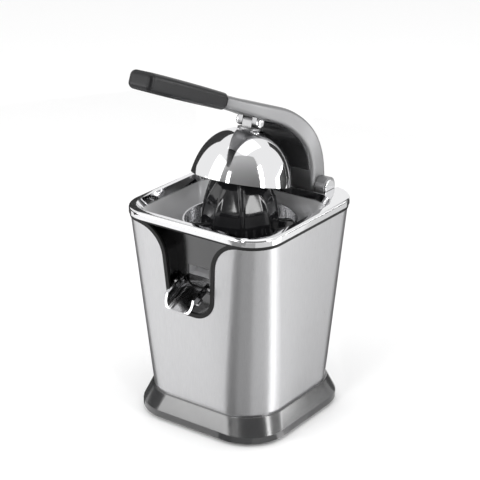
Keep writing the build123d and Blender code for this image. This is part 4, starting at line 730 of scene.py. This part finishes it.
floor_finish = Finish("floor_pale")
tint = floor_finish.noise(FLOOR_CLOUD, detail=1.0)
floor_pale = floor_finish.shade(floor_finish.mix(tint, FLOOR_LOW, FLOOR_HIGH), FLOOR_ROUGH)
sides = [(-1, -1), (1, -1), (1, 1), (-1, 1)]
stage_card("floor", [(x * FLOOR_HALF, y * FLOOR_HALF, 0.0) for x, y in sides], floor_pale)
print("floor", 2 * FLOOR_HALF, "m wide")

# %% [markdown]
# ## Cards on the floor
# Bright metal has hardly a colour of its own and shows what is round it. The bands of grey on a real casing
# are the studio's cards and flags, so painting them on the steel would be wrong from any other side. Here
# cards lie just over the floor, each between two rays by which the camera sees the floor in the casing. They
# show in reflections only, and one of them glows.


# %% Cards on the floor
VIEW_HEADING = 36.0
# the casing's plan in metres, simplified: half of its straight side and its corner's radius
FLAT_HALF, CORNER_ROUND, CARD_REACH = 0.034, 0.041, 0.9
# a card's tone at its foot holds up to the first height and its tone at the head from the second
TONE_STARTS, TONE_ENDS = 0.6, 1.8
CARD_ROUGH = 0.9
WHITE = (1.0, 1.0, 1.0, 1.0)


def card_grey(name, foot, head, glow):
    """Matt card that runs from one grey tone at its foot to another at its head, and may glow."""
    finish = Finish(name)
    rise = finish.along(2).between(TONE_STARTS, TONE_ENDS)
    tone = finish.mix(rise, (foot,) * 3, (head,) * 3)
    return finish.shade(tone, CARD_ROUGH, Emission_Color=WHITE, Emission_Strength=glow)


def reflected_card(name, corners, foot, head, glow=0.0):
    """A stage card that shows in reflections only."""
    card = stage_card(name, corners, card_grey(name, foot, head, glow))
    card.visible_camera = False
    card.visible_diffuse = False
    card.visible_shadow = False


def sight_ray(facing, slide):
    """Two floor points on the ray by which the camera sees the floor in the casing, where its side has a
    heading in degrees. The ray runs at twice that heading, less the camera's. Slide moves it to the back."""
    n, h = math.radians(facing), math.radians(2 * facing - VIEW_HEADING)
    x = math.copysign(FLAT_HALF, math.sin(n))
    foot = np.array([x + CORNER_ROUND * math.sin(n), -FLAT_HALF - CORNER_ROUND * math.cos(n) + slide])
    return foot, foot + CARD_REACH * np.array([math.sin(h), -math.cos(h)])


# two rays as heading of the side and slide, level over the floor, grey tone, glow
FLOOR_CARDS = {
    "floor_left_end": ((-54.0, 0.0), (-30.0, 0.0), 0.003, 0.05, 0.0),
    "floor_left": ((-40.0, 0.0), (2.0, 0.0), 0.002, 0.80, 0.0),
    "floor_band_dark": ((2.0, 0.0), (18.0, 0.0), 0.003, 0.15, 0.0),
    "floor_band_mid": ((18.0, 0.0), (40.0, 0.0), 0.003, 0.28, 0.0),
    "floor_band_pale": ((40.0, 0.0), (69.0, 0.0), 0.003, 0.48, 0.0),
    "floor_bright": ((69.0, 0.0), (80.0, 0.0), 0.003, 0.94, 0.7),
    "floor_side": ((88.0, 0.0), (90.0, 0.030), 0.002, 0.78, 0.0),
    "floor_rear": ((90.0, 0.030), (100.0, 0.10), 0.002, 0.56, 0.0),
    "floor_right_end": ((100.0, 0.10), (126.0, 0.10), 0.003, 0.05, 0.0),
}
for name, (first, second, over, tone, glow) in FLOOR_CARDS.items():
    (a, b), (d, c) = sight_ray(*first), sight_ray(*second)
    reflected_card(name, [(*corner, over) for corner in (a, b, c, d)], tone, tone, glow)
print("floor cards:", len(FLOOR_CARDS))

# %% [markdown]
# ## Walls
# More cards stand round the press, apart from one that lies behind it. A large one leans over the camera and
# greys the middle of the dome, and low dark ones give the skirt and the casing their dark ends. They could
# be boards set by eye. Here each is given by its headings and distances from the press, so that it faces it.


# %% Walls
def round_the_press(start, end, near, far, low, high):
    """Corners of a card between two headings in degrees, counted from the front to the right: its low edge
    is at the near distance and its high edge at the far one."""
    a, b = math.radians(start), math.radians(end)
    places = [(a, near, low), (b, near, low), (b, far, high), (a, far, high)]
    return [(r * math.sin(t), -r * math.cos(t), z) for t, r, z in places]


# start and end heading, distance of the low and the high edge, their heights, tone at the foot and the head
WALLS = {
    "fan_back": (220.0, 252.0, 0.10, 1.1, 0.002, 0.002, 0.2, 0.2),
    "wall_camera": (-15.0, 84.0, 2.2, 1.2, 0.0, 1.95, 0.14, 0.42),
    "wall_left": (226.0, 262.0, 0.85, 0.85, 0.0, 1.0, 0.02, 0.02),
    "wall_low_left": (262.0, 319.0, 0.85, 0.85, 0.0, 0.25, 0.02, 0.02),
    "wall_low_right": (132.0, 160.0, 1.1, 1.1, 0.0, 0.3, 0.02, 0.02),
    "wall_low_front": (2.0, 18.0, 0.5, 0.5, 0.05, 0.28, 0.25, 0.25),
    "wall_right": (160.0, 174.0, 0.85, 0.85, 0.0, 0.8, 0.02, 0.02),
}
for name, (*layout, foot, head) in WALLS.items():
    reflected_card(name, round_the_press(*layout), foot, head)
print("walls:", len(WALLS))

# %% [markdown]
# ## Lamps
# Most of the light is the even white of the world, as in a light tent. Sun or point lamps would add hard
# shadows, so the six lamps are soft panels: one in front, one above, two low ones for the skirt, and two
# upright strips that draw the bright lines on steel and cone.

# %% Lamps
# place, aim, width, height and power
LAMPS = {
    "lamp_front": ((-0.9, -1.5, 1.3), (0.0, 0.0, 0.15), 1.2, 1.2, 5.0),
    "lamp_top": ((0.0, 0.2, 2.0), (0.0, 0.0, 0.15), 1.6, 1.6, 5.0),
    "lamp_low_left": ((-0.95, -1.42, 0.42), (0.0, 0.0, 0.05), 1.3, 0.6, 8.0),
    "lamp_low_right": ((1.10, 1.20, 0.22), (0.0, 0.0, 0.05), 0.9, 0.36, 5.0),
    "strip_front": ((0.10, -1.20, 0.60), (0.0, 0.0, 0.22), 0.14, 0.9, 3.5),
    "strip_right": ((1.20, -0.06, 0.60), (0.0, 0.0, 0.22), 0.18, 0.9, 4.5),
}
for name, (place, aim, wide, tall, power) in LAMPS.items():
    panel = bpy.data.lights.new(name, "AREA")
    panel.shape = "RECTANGLE"
    panel.size = wide
    panel.size_y = tall
    panel.energy = power
    lamp = bpy.data.objects.new(name, panel)
    scene.collection.objects.link(lamp)
    lamp.location = place
    lamp.rotation_euler = Vector(np.array(place) - np.array(aim)).to_track_quat("Z", "Y").to_euler()
print("lamps:", sorted(LAMPS))

# %% [markdown]
# ## White world
# The picture's ground is pure white. More light would make it so, but would wash out the press. So the world
# is white where the camera, a reflection or a see-through piece looks at it, and a little weaker as a light.

# %% World
WORLD_LIGHT, WORLD_SEEN = 0.92, 1.0
scene.world = bpy.data.worlds.new("studio")
tent = Board(scene.world)
by_camera = tent.add("ShaderNodeLightPath", output="Is Camera Ray")
by_gloss = tent.add("ShaderNodeLightPath", output="Is Glossy Ray")
by_glass = tent.add("ShaderNodeLightPath", output="Is Transmission Ray")
seen = by_camera.or_larger(by_gloss).or_larger(by_glass)
light = tent.add("ShaderNodeBackground", None, {"Color": WHITE, "Strength": WORLD_LIGHT})
ground = tent.add("ShaderNodeBackground", None, {"Color": WHITE, "Strength": WORLD_SEEN})
choice = tent.add("ShaderNodeMixShader", None, {0: seen, 1: light, 2: ground})
tent.add("ShaderNodeOutputWorld", None, {"Surface": choice})
print("world light", WORLD_LIGHT)

# %% [markdown]
# ## Camera
# The press is seen from its front right and a little above, as in the small picture, through a long lens. A
# camera can be placed by hand in the viewport. Here a heading, an elevation and a distance place it, because
# those can be read off the picture one by one.

# %% Camera
AZIMUTH, ELEVATION, DISTANCE = math.radians(VIEW_HEADING), math.radians(22.3), 1.5
AIM = np.array([0.0, 0.0, 0.172])
LENS = 118.0
toward = np.array([math.sin(AZIMUTH) * math.cos(ELEVATION), -math.cos(AZIMUTH) * math.cos(ELEVATION),
                   math.sin(ELEVATION)])
eye = bpy.data.cameras.new("camera")
eye.lens = LENS
camera = bpy.data.objects.new("camera", eye)
scene.collection.objects.link(camera)
camera.location = AIM + DISTANCE * toward
camera.rotation_euler = Vector(toward).to_track_quat("Z", "Y").to_euler()
scene.camera = camera
print("camera at", list(camera.location))

# %% [markdown]
# ## The end
# A skin must not make the press larger than its solids.

# %% The end
print("the end")
